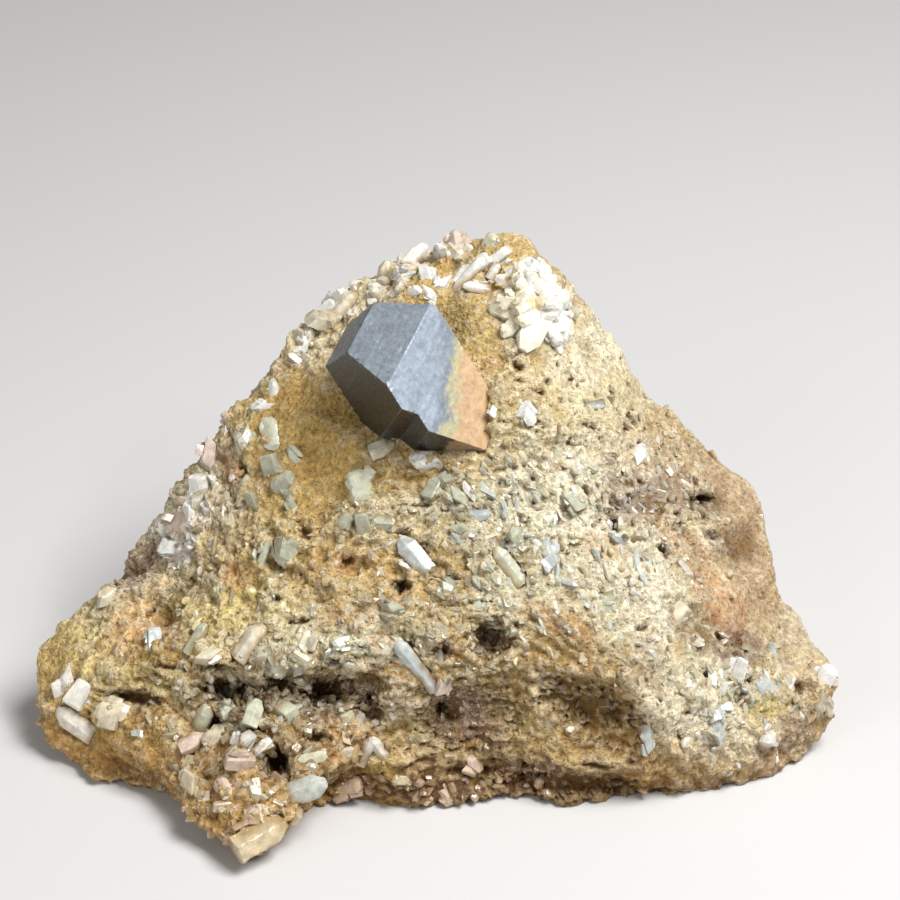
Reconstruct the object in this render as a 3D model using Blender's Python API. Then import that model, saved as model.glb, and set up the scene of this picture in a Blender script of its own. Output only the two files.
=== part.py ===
"""Anatase specimen: one steel-grey crystal set in a loose block of crystal-studded matrix rock.

Units are metres and +Z is up. The block rests on its flat broken underside, at Z = 0, and the
origin is under the middle of the whole specimen. A place read from the photograph is a pixel of
its 900 x 900 frame and a height in millimetres towards the viewer; seen() makes it a point.
"""

import math
import random
from collections import namedtuple

import bmesh
import bpy
import numpy as np
from mathutils import Matrix, Vector, noise
from mathutils.bvhtree import BVHTree

MM = 0.001

# The viewer's line of sight, which ties pixels of the photograph to the specimen
SIGHT_ELEVATION = math.radians(32.0)
SIGHT_DISTANCE = 300.0 * MM
SIGHT_TARGET = Vector((1.6, -1.4, 32.2)) * MM
MM_PER_PIXEL = 0.105
FRAME_CENTRE = 450.0
RIGHT = Vector((1.0, 0.0, 0.0))
UP = Vector((0.0, math.sin(SIGHT_ELEVATION), math.cos(SIGHT_ELEVATION)))
TOWARD = Vector((0.0, -math.cos(SIGHT_ELEVATION), math.sin(SIGHT_ELEVATION)))

# The block of matrix rock
BLOCK_MIDDLE = (460.0, 560.0)
CORE = Vector((0.0, 2.0, 17.0)) * MM
SKIN_STEP = 0.9 * MM
ROCK_TRIANGLES = 4300
MATRIX_TRIANGLES = 6900

# Broken-rock relief: (size of the lumps, their height, a shift that sets them apart)
LUMPS = (
    (9.0 * MM, 0.9 * MM, Vector((0.0, 0.0, 0.0))),
    (3.6 * MM, 0.7 * MM, Vector((7.0, 3.0, 1.0))),
    (1.7 * MM, 0.35 * MM, Vector((1.0, 8.0, 5.0))),
)

# Landmarks of the block: (pixel across, pixel down, mm towards the viewer), clockwise
SUMMIT_RIM = (
    (411, 250, -10.0), (432, 244, -9.5), (458, 236, -8.5), (482, 236, -8.0), (499, 218, -6.5),
    (511, 215, -6.0), (523, 223, -6.2), (543, 246, -7.0), (567, 276, -8.0), (593, 310, -9.0),
)
RIGHT_RIM = (
    (615, 341, -10.0), (643, 389, -10.0), (671, 431, -10.0), (692, 447, -11.5),
    (727, 460, -15.0), (754, 486, -15.0), (767, 519, -14.0), (768, 560, -12.0),
    (780, 586, -11.0), (800, 617, -10.0), (815, 645, -9.5),
)
RIGHT_LOBE = (
    (838, 671, -8.0), (841, 705, -7.5), (834, 738, -7.5), (810, 760, -7.8), (757, 791, -4.8),
    (722, 799, -3.4),
)
FOOT_EDGE = (
    (692, 789, -2.0), (668, 793, -1.6), (640, 802, -1.2), (600, 804, -1.0), (530, 802, -1.2),
    (450, 807, -0.6), (400, 806, -0.6), (340, 803, -0.8), (300, 808, 1.0),
)
FOOT = (
    (290, 830, 4.5), (264, 855, 8.0), (239, 868, 9.9), (218, 844, 7.5), (199, 826, 6.0),
    (180, 813, 4.5), (182, 798, 3.0), (168, 779, 1.0),
)
LEFT_LOBE = (
    (145, 790, -1.0), (122, 781, -2.5), (78, 772, -4.5), (48, 748, -6.5), (36, 724, -7.5),
    (38, 700, -8.0), (28, 671, -9.0), (33, 649, -9.5), (50, 629, -10.0), (78, 604, -10.0),
    (98, 594, -10.5),
)
LEFT_RIM = (
    (112, 584, -12.0), (128, 560, -15.0), (138, 539, -16.0), (154, 513, -15.0),
    (183, 495, -12.0), (199, 466, -11.5), (213, 430, -11.0), (246, 389, -11.0),
    (277, 362, -11.0), (301, 331, -11.5), (338, 298, -11.5), (362, 288, -11.0),
    (384, 266, -10.5),
)
CREST = (
    (400, 290, -6.5), (455, 300, -3.5), (535, 305, -1.5), (575, 322, -5.0), (345, 345, -7.0),
    (400, 340, -5.5), (460, 350, -1.5), (530, 370, 0.5), (590, 380, -3.5),
)
UPPER_FRONT = (
    (250, 430, -6.5), (300, 425, -4.0), (360, 430, -1.5), (430, 446, 0.8), (484, 452, 2.8),
    (502, 414, 3.4), (560, 440, 1.0), (620, 450, -2.5), (655, 458, -6.0), (225, 500, -7.0),
    (290, 500, -2.0), (360, 500, 0.8), (440, 505, 2.5), (520, 505, 3.0), (600, 505, 0.5),
    (660, 500, -3.5), (700, 508, -8.0), (735, 512, -12.0),
)
LOWER_FRONT = (
    (190, 560, -7.5), (152, 572, -13.0), (250, 565, -1.5), (330, 565, 2.0), (420, 565, 4.0),
    (510, 565, 5.0), (590, 565, 3.5), (660, 565, -1.0), (715, 560, -6.0), (742, 558, -9.5),
    (110, 625, -7.0), (165, 618, -6.0), (230, 620, 1.0), (310, 620, 4.0), (400, 615, 5.5),
    (500, 615, 6.5), (580, 620, 6.0), (650, 620, 2.5), (720, 615, -2.5), (775, 625, -7.0),
)
FRONT_WALL = (
    (60, 665, -6.0), (110, 670, -2.5), (180, 670, 1.0), (250, 668, 5.0), (330, 665, 6.0),
    (410, 668, 6.5), (480, 680, 5.5), (562, 666, 6.0), (606, 674, 5.8), (690, 670, 3.5),
    (750, 675, -1.0), (800, 685, -5.0), (70, 720, -4.5), (120, 725, -1.0), (180, 725, 1.5),
    (240, 725, 3.0), (310, 725, 3.0), (380, 720, 3.5), (450, 720, 2.5), (525, 725, 2.2),
    (585, 706, 2.9), (618, 716, 3.2), (657, 722, 4.4), (710, 725, 2.0), (770, 725, -2.5),
    (812, 722, -5.5), (90, 752, -4.0), (140, 762, 0.0), (190, 770, 4.0), (228, 792, 6.8),
    (275, 785, 4.0), (340, 765, 1.0), (420, 765, 1.2), (500, 770, 0.6), (560, 762, 1.6),
    (610, 766, 1.8), (655, 762, 2.2), (700, 768, 0.0), (760, 762, -3.6), (240, 825, 9.4),
)
SEEN_LANDMARKS = (
    SUMMIT_RIM + RIGHT_RIM + RIGHT_LOBE + FOOT_EDGE + FOOT + LEFT_LOBE + LEFT_RIM
    + CREST + UPPER_FRONT + LOWER_FRONT + FRONT_WALL
)

# (across, back, up) in millimetres: the back, which the photograph doesn't show
BACK = (
    (9, 18.5, 46), (-5, 22, 39), (18, 19, 35), (-17, 17, 31), (-4, 27.5, 29), (13, 24, 27),
    (24, 23, 19), (-24, 19, 19), (-9, 31, 14), (7, 29, 20), (9, 32, 15), (23, 28, 8),
    (31, 19, 10), (-22, 25, 8), (-32, 15, 7), (-36, 6, 6), (35, 10, 6), (36, 0, 7),
    (-1, 31.5, 3), (-15, 28, 2), (17, 30, 2), (29, 20, 2), (-31, 14, 2), (-37, 1, 3),
    (37, -2, 3),
)

# The underside's edge and middle, a little below the plane that cuts it flat
UNDERSIDE = (
    (-20, -31, -1.5), (-27, -17, -1.5), (-34, -9, -1.5), (-34, 3, -1.5), (-28, 12, -1.5),
    (-14, 25, -1.5), (0, 28, -1.5), (15, 26, -1.5), (26, 18, -1.5), (33, 2, -1.5),
    (35, -10, -1.5), (27, -15, -1.5), (15, -16, -1.5), (0, -16.5, -1.5), (-11, -17, -1.5),
    (-16, -21, -1.5), (-12, -4, -1.5), (12, 4, -1.5), (0, 14, -1.5), (-20, 2, -1.5),
    (22, -4, -1.5),
)

# A hollow in the skin: its pixel, its half width and depth in mm, how much wider than tall it is
Hollow = namedtuple("Hollow", "across down half_width depth stretch")
HOLLOWS = (
    Hollow(492, 640, 2.3, 2.4, 1.2), Hollow(445, 652, 1.6, 1.3, 1.0),
    Hollow(448, 708, 2.1, 1.8, 0.8), Hollow(500, 772, 2.6, 1.8, 2.0),
    Hollow(232, 688, 2.2, 2.6, 1.5), Hollow(214, 722, 1.3, 2.2, 1.0),
    Hollow(290, 682, 1.7, 1.8, 1.4), Hollow(330, 690, 2.4, 3.2, 1.1),
    Hollow(366, 692, 1.6, 1.8, 1.5), Hollow(140, 700, 2.0, 1.8, 2.4),
    Hollow(276, 762, 2.2, 3.2, 0.8), Hollow(166, 622, 2.0, 1.8, 0.8),
    Hollow(401, 584, 1.1, 1.4, 1.6), Hollow(702, 504, 1.6, 1.8, 2.2),
    Hollow(712, 534, 1.0, 1.2, 2.0), Hollow(614, 520, 0.9, 1.3, 0.8),
    Hollow(804, 688, 1.1, 1.5, 0.7), Hollow(602, 592, 0.9, 1.0, 0.5),
    Hollow(740, 652, 2.4, 1.1, 0.8), Hollow(355, 565, 1.4, 1.0, 1.2),
    Hollow(735, 548, 2.2, 1.0, 1.0), Hollow(620, 790, 2.0, 1.0, 2.4),
    Hollow(600, 522, 0.9, 1.1, 1.4),
)

# Bedding that stands out as broken ledges along the lower left of the front
LEDGE_LENGTH = 7.0 * MM
LEDGE_PITCH = 1.7 * MM
LEDGE_RELIEF = 1.1 * MM
LEDGE_TOP = 21.0 * MM
LEDGE_RIGHT = 8.0 * MM
LEDGE_FADE = 6.0 * MM

# Hollows lean this much along the line of sight, the rest square to the skin
HOLLOW_LEAN = 0.6
HOLLOW_RAGGED = 0.3

# The anatase crystal: a steep square bipyramid, cut flat at its free end
Crystal = namedtuple("Crystal", "width slope tip_height buried_length")
ANATASE = Crystal(10.65 * MM, math.radians(68.3), 6.2 * MM, 12.6 * MM)
ANATASE_MIDDLE = (395.0, 363.3, 1.4)
ANATASE_HEADING = math.radians(150.8)
ANATASE_TIP_FORWARD = math.radians(4.6)
ANATASE_ROLL = math.radians(25.9)

# Growth steps below its middle: (height along it, reach past the middle's side)
LOWER_STEPS = ((-2.58 * MM, 1.03 * MM), (-4.35 * MM, 0.32 * MM), (-6.14 * MM, 1.04 * MM))
UPPER_STEPS = ((-0.95 * MM, 0.17 * MM), (-1.86 * MM, -0.06 * MM))

# The clearance round a crystal in its socket, and what is merged after a cut or a join
FIT_GAP = 0.3 * MM
WELD = 0.004 * MM
FLAT_ANGLE = math.radians(1.5)

# Every small crystal's form: thickness, the length of its point and its blunt tip, by its width
PRISM_THICKNESS = 0.72
PRISM_POINT = 0.45
PRISM_TIP = 0.4

# A six-sided prism on the rock: the pixel of its middle, its heading in the picture in degrees
# from the right, its length and width in mm, and how far its free end is tipped out, in degrees
Prism = namedtuple("Prism", "across down heading length width lift")

# Crystals large enough to be pieces of their own
LOOSE_PRISMS = {
    "white_blade_long": (Prism(466, 275, 38, 5.6, 1.6, 8), "white"),
    "white_blade_short": (Prism(478, 288, 172, 3.3, 1.4, 8), "white"),
    "white_blade_upper": (Prism(494, 270, 60, 2.2, 1.2, 20), "white"),
    "brown_grain": (Prism(383, 448, 20, 2.9, 2.2, 5), "brown"),
    "grey_white_prism": (Prism(250, 641, 50, 4.6, 2.7, 12), "white"),
    "pale_green_prism": (Prism(254, 712, 70, 3.0, 2.0, 10), "green"),
    "blue_grey_prism": (Prism(416, 667, 122, 7.0, 1.8, 8), "grey"),
    "green_blade": (Prism(509, 566, 128, 4.8, 1.9, 8), "green"),
    "pale_chip": (Prism(414, 555, 130, 4.8, 2.6, 6), "grey"),
    "foot_crystal": (Prism(262, 835, 32, 6.0, 3.4, 14), "white"),
    "left_lobe_crystal": (Prism(74, 723, 150, 5.0, 2.8, 12), "white"),
    "pink_block": (Prism(192, 740, 20, 2.9, 2.4, 10), "pink"),
    "glassy_block": (Prism(307, 788, 15, 4.2, 2.8, 8), "grey"),
    "green_prism_left": (Prism(195, 637, 55, 3.8, 1.8, 12), "green"),
    "green_prism_low": (Prism(202, 718, 60, 3.2, 2.1, 10), "green"),
    "rim_block": (Prism(414, 249, 75, 3.4, 2.9, 25), "white"),
    "rim_prism": (Prism(383, 272, 60, 2.8, 2.0, 25), "white"),
    "rim_cream_block": (Prism(346, 302, 40, 3.4, 2.6, 15), "white"),
}

# How far a loose crystal's middle is sunk in its socket, as a share of its width
LOOSE_SINK = 0.15

# Two crystals grown through each other in a V
TWIN_PRISMS = (Prism(365, 752, 60, 3.8, 1.6, 14), Prism(378, 748, 118, 3.0, 1.5, 14))

# Small crystals that are one with the matrix, from the top of the front to its foot
FIXED_PRISMS = (
    Prism(441, 253, 70, 2.2, 1.4, 25), Prism(456, 238, 110, 2.4, 1.7, 30),
    Prism(489, 242, 60, 2.0, 1.5, 25), Prism(403, 277, 40, 2.2, 1.3, 15),
    Prism(427, 274, 100, 2.2, 1.3, 15), Prism(442, 281, 60, 1.9, 1.1, 15),
    Prism(412, 292, 20, 1.8, 1.2, 12), Prism(429, 293, 150, 1.9, 1.2, 12),
    Prism(501, 255, 30, 2.0, 1.2, 20), Prism(325, 322, 50, 2.3, 1.6, 20),
    Prism(300, 338, 60, 2.2, 1.5, 20), Prism(272, 393, 65, 2.6, 1.3, 15),
    Prism(265, 407, 40, 2.3, 1.3, 15), Prism(270, 432, 100, 3.4, 1.4, 10),
    Prism(245, 438, 110, 2.3, 1.5, 15), Prism(271, 465, 80, 2.1, 1.6, 15),
    Prism(292, 459, 130, 2.3, 1.2, 10), Prism(282, 482, 20, 2.6, 2.1, 12),
    Prism(294, 504, 140, 3.2, 1.0, 12), Prism(252, 502, 75, 2.1, 1.3, 12),
    Prism(285, 554, 120, 2.7, 2.1, 8), Prism(266, 554, 60, 2.0, 1.4, 12),
    Prism(360, 484, 110, 3.0, 2.1, 8), Prism(344, 520, 30, 2.1, 1.3, 12),
    Prism(364, 526, 100, 2.6, 1.5, 12), Prism(379, 525, 45, 2.5, 1.4, 12),
    Prism(424, 464, 30, 2.6, 1.8, 10), Prism(439, 466, 110, 2.1, 1.3, 12),
    Prism(447, 478, 20, 2.1, 1.3, 12), Prism(433, 488, 60, 2.1, 1.2, 12),
    Prism(457, 493, 140, 2.3, 1.2, 12), Prism(470, 516, 176, 3.6, 1.1, 8),
    Prism(466, 532, 160, 2.2, 1.3, 12), Prism(519, 540, 130, 2.8, 1.6, 10),
    Prism(550, 553, 120, 2.9, 1.6, 10), Prism(545, 520, 60, 2.3, 1.3, 12),
    Prism(575, 500, 120, 2.3, 1.3, 12), Prism(393, 606, 30, 2.2, 1.4, 12),
    Prism(475, 603, 110, 2.3, 1.3, 12), Prism(448, 590, 150, 2.0, 1.2, 12),
    Prism(523, 412, 110, 2.6, 1.9, 15), Prism(596, 408, 60, 2.0, 1.3, 15),
    Prism(157, 637, 75, 2.7, 1.4, 15), Prism(212, 652, 60, 2.7, 1.4, 12),
    Prism(227, 706, 95, 2.0, 1.3, 12), Prism(292, 716, 120, 2.4, 1.9, 10),
    Prism(342, 716, 70, 2.5, 1.9, 10), Prism(218, 737, 45, 2.4, 1.6, 10),
    Prism(245, 746, 70, 2.9, 1.8, 10), Prism(266, 749, 60, 2.6, 1.8, 10),
    Prism(240, 763, 150, 2.4, 1.7, 10), Prism(313, 758, 20, 2.8, 1.4, 10),
    Prism(347, 785, 10, 2.4, 1.6, 10), Prism(222, 786, 120, 2.6, 1.9, 10),
    Prism(253, 794, 50, 2.4, 1.8, 10), Prism(190, 782, 70, 2.4, 1.8, 12),
    Prism(108, 598, 80, 2.2, 1.6, 20), Prism(66, 679, 100, 2.4, 1.7, 12),
    Prism(81, 695, 50, 2.4, 1.7, 12), Prism(110, 711, 170, 3.0, 2.0, 8),
    Prism(140, 733, 90, 1.9, 1.7, 10), Prism(446, 684, 70, 2.4, 1.3, 12),
    Prism(472, 760, 150, 2.2, 1.4, 10), Prism(449, 795, 20, 2.2, 1.6, 10),
    Prism(405, 780, 60, 2.0, 1.4, 10), Prism(384, 650, 60, 2.4, 1.4, 12),
    Prism(344, 640, 30, 2.4, 1.4, 12), Prism(302, 642, 70, 2.4, 1.5, 12),
    Prism(272, 668, 20, 2.6, 1.5, 12), Prism(300, 662, 150, 2.4, 1.4, 12),
    Prism(520, 648, 110, 2.2, 1.3, 12), Prism(606, 604, 60, 2.0, 1.2, 12),
    Prism(641, 454, 110, 1.9, 1.3, 15), Prism(680, 614, 30, 2.0, 1.4, 12),
    Prism(741, 672, 60, 2.2, 1.4, 12), Prism(768, 688, 120, 2.3, 1.5, 12),
    Prism(718, 712, 80, 2.1, 1.4, 12), Prism(772, 737, 40, 2.3, 1.5, 12),
    Prism(721, 729, 150, 2.0, 1.3, 12), Prism(650, 740, 110, 2.4, 1.2, 10),
    Prism(827, 676, 60, 2.2, 1.7, 20), Prism(820, 705, 100, 2.2, 1.5, 15),
    Prism(176, 528, 60, 2.8, 2.2, 20), Prism(196, 500, 70, 2.6, 2.0, 20),
    Prism(210, 455, 75, 2.2, 1.6, 20),
)

# The tuft of white blades near the top, on its low dome
TUFT_MIDDLE = (537, 305)
TUFT_BLADES = (
    Prism(522, 271, 20, 3.2, 2.6, 12), Prism(541, 278, 140, 3.6, 2.3, 25),
    Prism(525, 287, 110, 4.6, 3.0, 16), Prism(508, 309, 178, 3.4, 2.9, 22),
    Prism(511, 328, 228, 2.6, 1.8, 20), Prism(525, 320, 240, 2.6, 2.2, 35),
    Prism(533, 331, 237, 5.2, 3.0, 16), Prism(556, 303, 40, 3.4, 2.6, 28),
    Prism(561, 320, 300, 3.8, 2.5, 22), Prism(551, 331, 262, 3.6, 2.6, 25),
    Prism(564, 333, 340, 2.4, 1.2, 15), Prism(557, 344, 254, 2.6, 1.3, 15),
    Prism(538, 304, 80, 2.6, 2.6, 50), Prism(509, 284, 150, 3.2, 1.7, 12),
    Prism(548, 291, 60, 3.0, 2.3, 35), Prism(518, 299, 205, 3.0, 2.3, 30),
)
TUFT_CORE_RADIUS = 3.0 * MM
TUFT_CORE_HEIGHT = 1.0 * MM

# Small crystals scattered over the sides that the photograph doesn't show, in mm and degrees
SCATTERED_PRISMS = 26
SCATTERED_WIDTHS = (1.3, 2.3)
SCATTERED_LENGTHS = (1.3, 2.0)
SCATTERED_LIFT = math.radians(15.0)
SCATTERED_ABOVE = 4.0 * MM
STEEPEST_OVERHANG = -0.3
SCATTER_SEED = 11

# Colour, roughness and metallic value of each finish
Finish = namedtuple("Finish", "colour roughness metallic")
FINISHES = {
    "rock": Finish((0.58, 0.45, 0.24), 0.85, 0.0),
    "anatase": Finish((0.10, 0.115, 0.14), 0.28, 0.35),
    "white": Finish((0.78, 0.73, 0.66), 0.4, 0.0),
    "grey": Finish((0.42, 0.45, 0.42), 0.4, 0.0),
    "green": Finish((0.40, 0.44, 0.30), 0.4, 0.0),
    "pink": Finish((0.62, 0.48, 0.42), 0.4, 0.0),
    "brown": Finish((0.36, 0.27, 0.20), 0.6, 0.0),
}


def seen(across, down, toward):
    """The point at a pixel of the photograph and so many millimetres nearer than the target."""
    reach = 1.0 - toward * MM / SIGHT_DISTANCE
    side = (across - FRAME_CENTRE) * MM_PER_PIXEL * MM * reach
    rise = (FRAME_CENTRE - down) * MM_PER_PIXEL * MM * reach
    return SIGHT_TARGET + RIGHT * side + UP * rise + TOWARD * toward * MM


def meet_rock(tree, across, down):
    """Where a pixel's line of sight meets the rock, the rock's normal there, and the line.

    A pixel that is just past the block's edge is moved in until its line meets the rock.
    """
    eye = SIGHT_TARGET + TOWARD * SIGHT_DISTANCE
    pixel = Vector((across, down))
    inward = (Vector(BLOCK_MIDDLE) - pixel).normalized()
    while True:
        away = (seen(*pixel, 0.0) - eye).normalized()
        place, normal, _, _ = tree.ray_cast(eye, away)
        if place:
            return place, normal, away
        pixel += inward


def clear_scene():
    """Removes every object that the file starts with."""
    for obj in list(bpy.data.objects):
        bpy.data.objects.remove(obj, do_unlink=True)


def material(name, finish):
    """A plain surface finish."""
    made = bpy.data.materials.new(name)
    made.use_nodes = True
    shader = made.node_tree.nodes["Principled BSDF"]
    shader.inputs["Base Color"].default_value = (*finish.colour, 1.0)
    shader.inputs["Roughness"].default_value = finish.roughness
    shader.inputs["Metallic"].default_value = finish.metallic
    return made


def object_from(bm, name, frame):
    """A scene object that holds the mesh, which is then freed, placed and turned by the frame."""
    mesh = bpy.data.meshes.new(name)
    bm.to_mesh(mesh)
    bm.free()
    obj = bpy.data.objects.new(name, mesh)
    bpy.context.scene.collection.objects.link(obj)
    obj.matrix_world = frame
    return obj


def apply_modifiers(obj):
    """Makes the object's modifiers part of its mesh."""
    bpy.context.view_layer.update()
    graph = bpy.context.evaluated_depsgraph_get()
    mesh = bpy.data.meshes.new_from_object(obj.evaluated_get(graph))
    obj.modifiers.clear()
    obj.data = mesh


def combine(obj, others, operation):
    """Joins the other objects to this one, or cuts them out of it, and removes them.

    Facets that the cuts split but that still lie in one plane are made one again.
    """
    group = bpy.data.collections.new("operands")
    for other in others:
        group.objects.link(other)
    step = obj.modifiers.new("combine", "BOOLEAN")
    step.operation = operation
    step.operand_type = "COLLECTION"
    step.collection = group
    step.solver = "EXACT"
    apply_modifiers(obj)
    bpy.data.collections.remove(group)
    for other in others:
        bpy.data.objects.remove(other, do_unlink=True)
    bm = bmesh.new()
    bm.from_mesh(obj.data)
    bmesh.ops.remove_doubles(bm, verts=bm.verts, dist=WELD)
    bmesh.ops.dissolve_limit(bm, angle_limit=FLAT_ANGLE, verts=bm.verts, edges=bm.edges)
    bmesh.ops.triangulate(bm, faces=bm.faces)
    bm.to_mesh(obj.data)
    bm.free()


def tree_of(obj):
    """A search tree of the object's surface."""
    bm = bmesh.new()
    bm.from_mesh(obj.data)
    tree = BVHTree.FromBMesh(bm)
    bm.free()
    return tree


def rock_cage():
    """The polyhedron through all the landmarks, which stand round the core like a star."""
    marks = [seen(*mark) for mark in SEEN_LANDMARKS]
    marks += [Vector(mark) * MM for mark in BACK + UNDERSIDE]
    bm = bmesh.new()
    corners = [bm.verts.new((mark - CORE).normalized()) for mark in marks]
    bmesh.ops.convex_hull(bm, input=corners)
    for corner, mark in zip(corners, marks):
        corner.co = mark
    bmesh.ops.recalc_face_normals(bm, faces=bm.faces)
    return object_from(bm, "matrix_rock", Matrix())


def add_relief(obj):
    """Lumps, bedding ledges and hollows, moved into the skin of the block."""
    bm = bmesh.new()
    bm.from_mesh(obj.data)
    bmesh.ops.smooth_vert(
        bm, verts=bm.verts, factor=0.5, use_axis_x=True, use_axis_y=True, use_axis_z=True
    )
    bm.normal_update()
    tree = BVHTree.FromBMesh(bm)
    hollows = [(hollow, *hollow_on(tree, hollow)) for hollow in HOLLOWS]
    for vert in bm.verts:
        move = vert.normal * (lump_height(vert.co) + ledge_height(vert.co, vert.normal))
        for hollow, place, inward in hollows:
            move += inward * hollow_depth(vert.co, hollow, place, inward)
        vert.co += move
    bm.to_mesh(obj.data)
    bm.free()


def lump_height(place):
    """How far the broken-rock relief moves a place on the skin."""
    return sum(noise.noise(place / size + shift) * height for size, height, shift in LUMPS)


def ledge_height(place, normal):
    """Bedding ledges, where the skin stands upright on the lower left."""
    upright = 1.0 - abs(normal.z)
    low = min(1.0, max(0.0, (LEDGE_TOP - place.z) / LEDGE_FADE))
    left = min(1.0, max(0.0, (LEDGE_RIGHT - place.x) / LEDGE_FADE))
    beds = Vector((place.x / LEDGE_LENGTH, place.y / LEDGE_LENGTH, place.z / LEDGE_PITCH))
    return noise.noise(beds) * LEDGE_RELIEF * upright * low * left


def hollow_on(tree, hollow):
    """A hollow's place on the skin and its inward direction."""
    place, normal, away = meet_rock(tree, hollow.across, hollow.down)
    inward = (away * HOLLOW_LEAN - normal * (1.0 - HOLLOW_LEAN)).normalized()
    return place, inward


def hollow_depth(point, hollow, place, inward):
    """How far one hollow moves a point of the skin."""
    half_width = hollow.half_width * MM
    offset = point - place
    across = offset.dot(RIGHT) / hollow.stretch
    spread = Vector((across, offset.dot(UP), offset.dot(inward) / 2.0))
    ragged = 1.0 + HOLLOW_RAGGED * noise.noise(point / half_width)
    radius = spread.length / (half_width * ragged)
    return hollow.depth * MM * max(0.0, 1.0 - radius**3)


def merge_facets(obj, triangles):
    """Merges the flattest facets until about so many triangles are left."""
    obj.data.calc_loop_triangles()
    shrink = obj.modifiers.new("facets", "DECIMATE")
    shrink.ratio = triangles / len(obj.data.loop_triangles)
    apply_modifiers(obj)


def cut_underside(obj):
    """Cuts the block flat at the height that it rests on."""
    bm = bmesh.new()
    bm.from_mesh(obj.data)
    everything = bm.verts[:] + bm.edges[:] + bm.faces[:]
    bmesh.ops.bisect_plane(
        bm, geom=everything, plane_co=(0, 0, 0), plane_no=(0, 0, -1), clear_outer=True, dist=1e-6
    )
    rim = [edge for edge in bm.edges if edge.is_boundary]
    bmesh.ops.holes_fill(bm, edges=rim)
    bmesh.ops.triangulate(bm, faces=bm.faces)
    bm.to_mesh(obj.data)
    bm.free()


def make_rock():
    """The block of matrix, before anything is set in it."""
    rock = rock_cage()
    skin = rock.modifiers.new("skin", "REMESH")
    skin.mode = "VOXEL"
    skin.voxel_size = SKIN_STEP
    apply_modifiers(rock)
    add_relief(rock)
    merge_facets(rock, ROCK_TRIANGLES)
    return rock


def crystal_frame():
    """The anatase crystal's own axes and middle, as one matrix."""
    flat = RIGHT * math.cos(ANATASE_HEADING) + UP * math.sin(ANATASE_HEADING)
    axis = flat * math.cos(ANATASE_TIP_FORWARD) + TOWARD * math.sin(ANATASE_TIP_FORWARD)
    facing = (TOWARD - axis * TOWARD.dot(axis)).normalized()
    facing = Matrix.Rotation(ANATASE_ROLL, 3, axis) @ facing
    side = facing.cross(axis)
    turn = Matrix((side, facing, axis)).transposed().to_4x4()
    return Matrix.Translation(seen(*ANATASE_MIDDLE)) @ turn


def side_reach(height, steps, taper):
    """How far a side of the crystal stands out past its equator's, at a height along it."""
    tip, foot = ANATASE.tip_height, -ANATASE.buried_length
    last_height, last_reach = steps[-1]
    points = [(foot, last_reach - taper * (last_height - foot)), *reversed(steps)]
    points += [(0.0, 0.0), (tip, -taper * tip)]
    return float(np.interp(height, *zip(*points)))


def crystal_rings(grow=0.0):
    """(height, low side, high side, half depth) of each four-sided ring up the crystal."""
    half = ANATASE.width / 2.0 + grow
    taper = 1.0 / math.tan(ANATASE.slope)
    heights = [height for height, _ in LOWER_STEPS + UPPER_STEPS]
    heights += [ANATASE.tip_height, 0.0, -ANATASE.buried_length]
    rings = []
    for height in sorted(heights, reverse=True):
        low = -half - side_reach(height, UPPER_STEPS, taper)
        high = half + side_reach(height, LOWER_STEPS, taper)
        rings.append([height, low, high, half - taper * abs(height)])
    rings[0][0] += grow
    rings[-1][0] -= grow
    return rings


def loft(rings):
    """A closed solid through rings of four corners each."""
    bm = bmesh.new()
    loops = []
    for height, low, high, depth in rings:
        corners = ((low, -depth), (high, -depth), (high, depth), (low, depth))
        loops.append([bm.verts.new((x, y, height)) for x, y in corners])
    for upper, lower in zip(loops, loops[1:]):
        for n in range(4):
            after = (n + 1) % 4
            bm.faces.new((upper[n], lower[n], lower[after], upper[after]))
    bm.faces.new(loops[0])
    bm.faces.new(reversed(loops[-1]))
    bmesh.ops.recalc_face_normals(bm, faces=bm.faces)
    return bm


def make_anatase(name, grow=0.0):
    """The anatase crystal in its place."""
    return object_from(loft(crystal_rings(grow)), name, crystal_frame())


def prism_frame(tree, prism, sink):
    """The place of a prism on the rock, as one matrix with its Z along the prism."""
    place, normal, _ = meet_rock(tree, prism.across, prism.down)
    heading = math.radians(prism.heading)
    flat = RIGHT * math.cos(heading) + UP * math.sin(heading)
    flat = (flat - normal * flat.dot(normal)).normalized()
    return lying_frame(place, normal, flat, math.radians(prism.lift), sink)


def lying_frame(place, normal, flat, lift, sink):
    """The frame of a crystal that lies on a face, tipped up at its free end."""
    axis = flat * math.cos(lift) + normal * math.sin(lift)
    top = (normal - axis * normal.dot(axis)).normalized()
    side = top.cross(axis)
    turn = Matrix((side, top, axis)).transposed().to_4x4()
    return Matrix.Translation(place - normal * sink) @ turn


def prism_mesh(length, width, grow=0.0):
    """A flattened six-sided prism along Z, with a blunt point on its upper end."""
    half = width / 2.0 + grow
    thin = PRISM_THICKNESS * width / 2.0 + grow
    upper = length / 2.0 + grow
    shoulder = upper - PRISM_POINT * width
    bm = bmesh.new()
    rings = []
    for height, scale in ((-upper, 1.0), (shoulder, 1.0), (upper, PRISM_TIP)):
        ring = []
        for n in range(6):
            angle = math.radians(60.0 * n + 30.0)
            corner = (half * scale * math.cos(angle), thin * scale * math.sin(angle), height)
            ring.append(bm.verts.new(corner))
        rings.append(ring)
    for lower, higher in zip(rings, rings[1:]):
        for n in range(6):
            after = (n + 1) % 6
            bm.faces.new((lower[n], lower[after], higher[after], higher[n]))
    bm.faces.new(rings[-1])
    bm.faces.new(reversed(rings[0]))
    return bm


def place_prism(name, tree, prism, sink=0.0, grow=0.0):
    """A prism at its place on the rock, with its middle sunk below the skin."""
    bm = prism_mesh(prism.length * MM, prism.width * MM, grow)
    return object_from(bm, name, prism_frame(tree, prism, sink))


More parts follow.
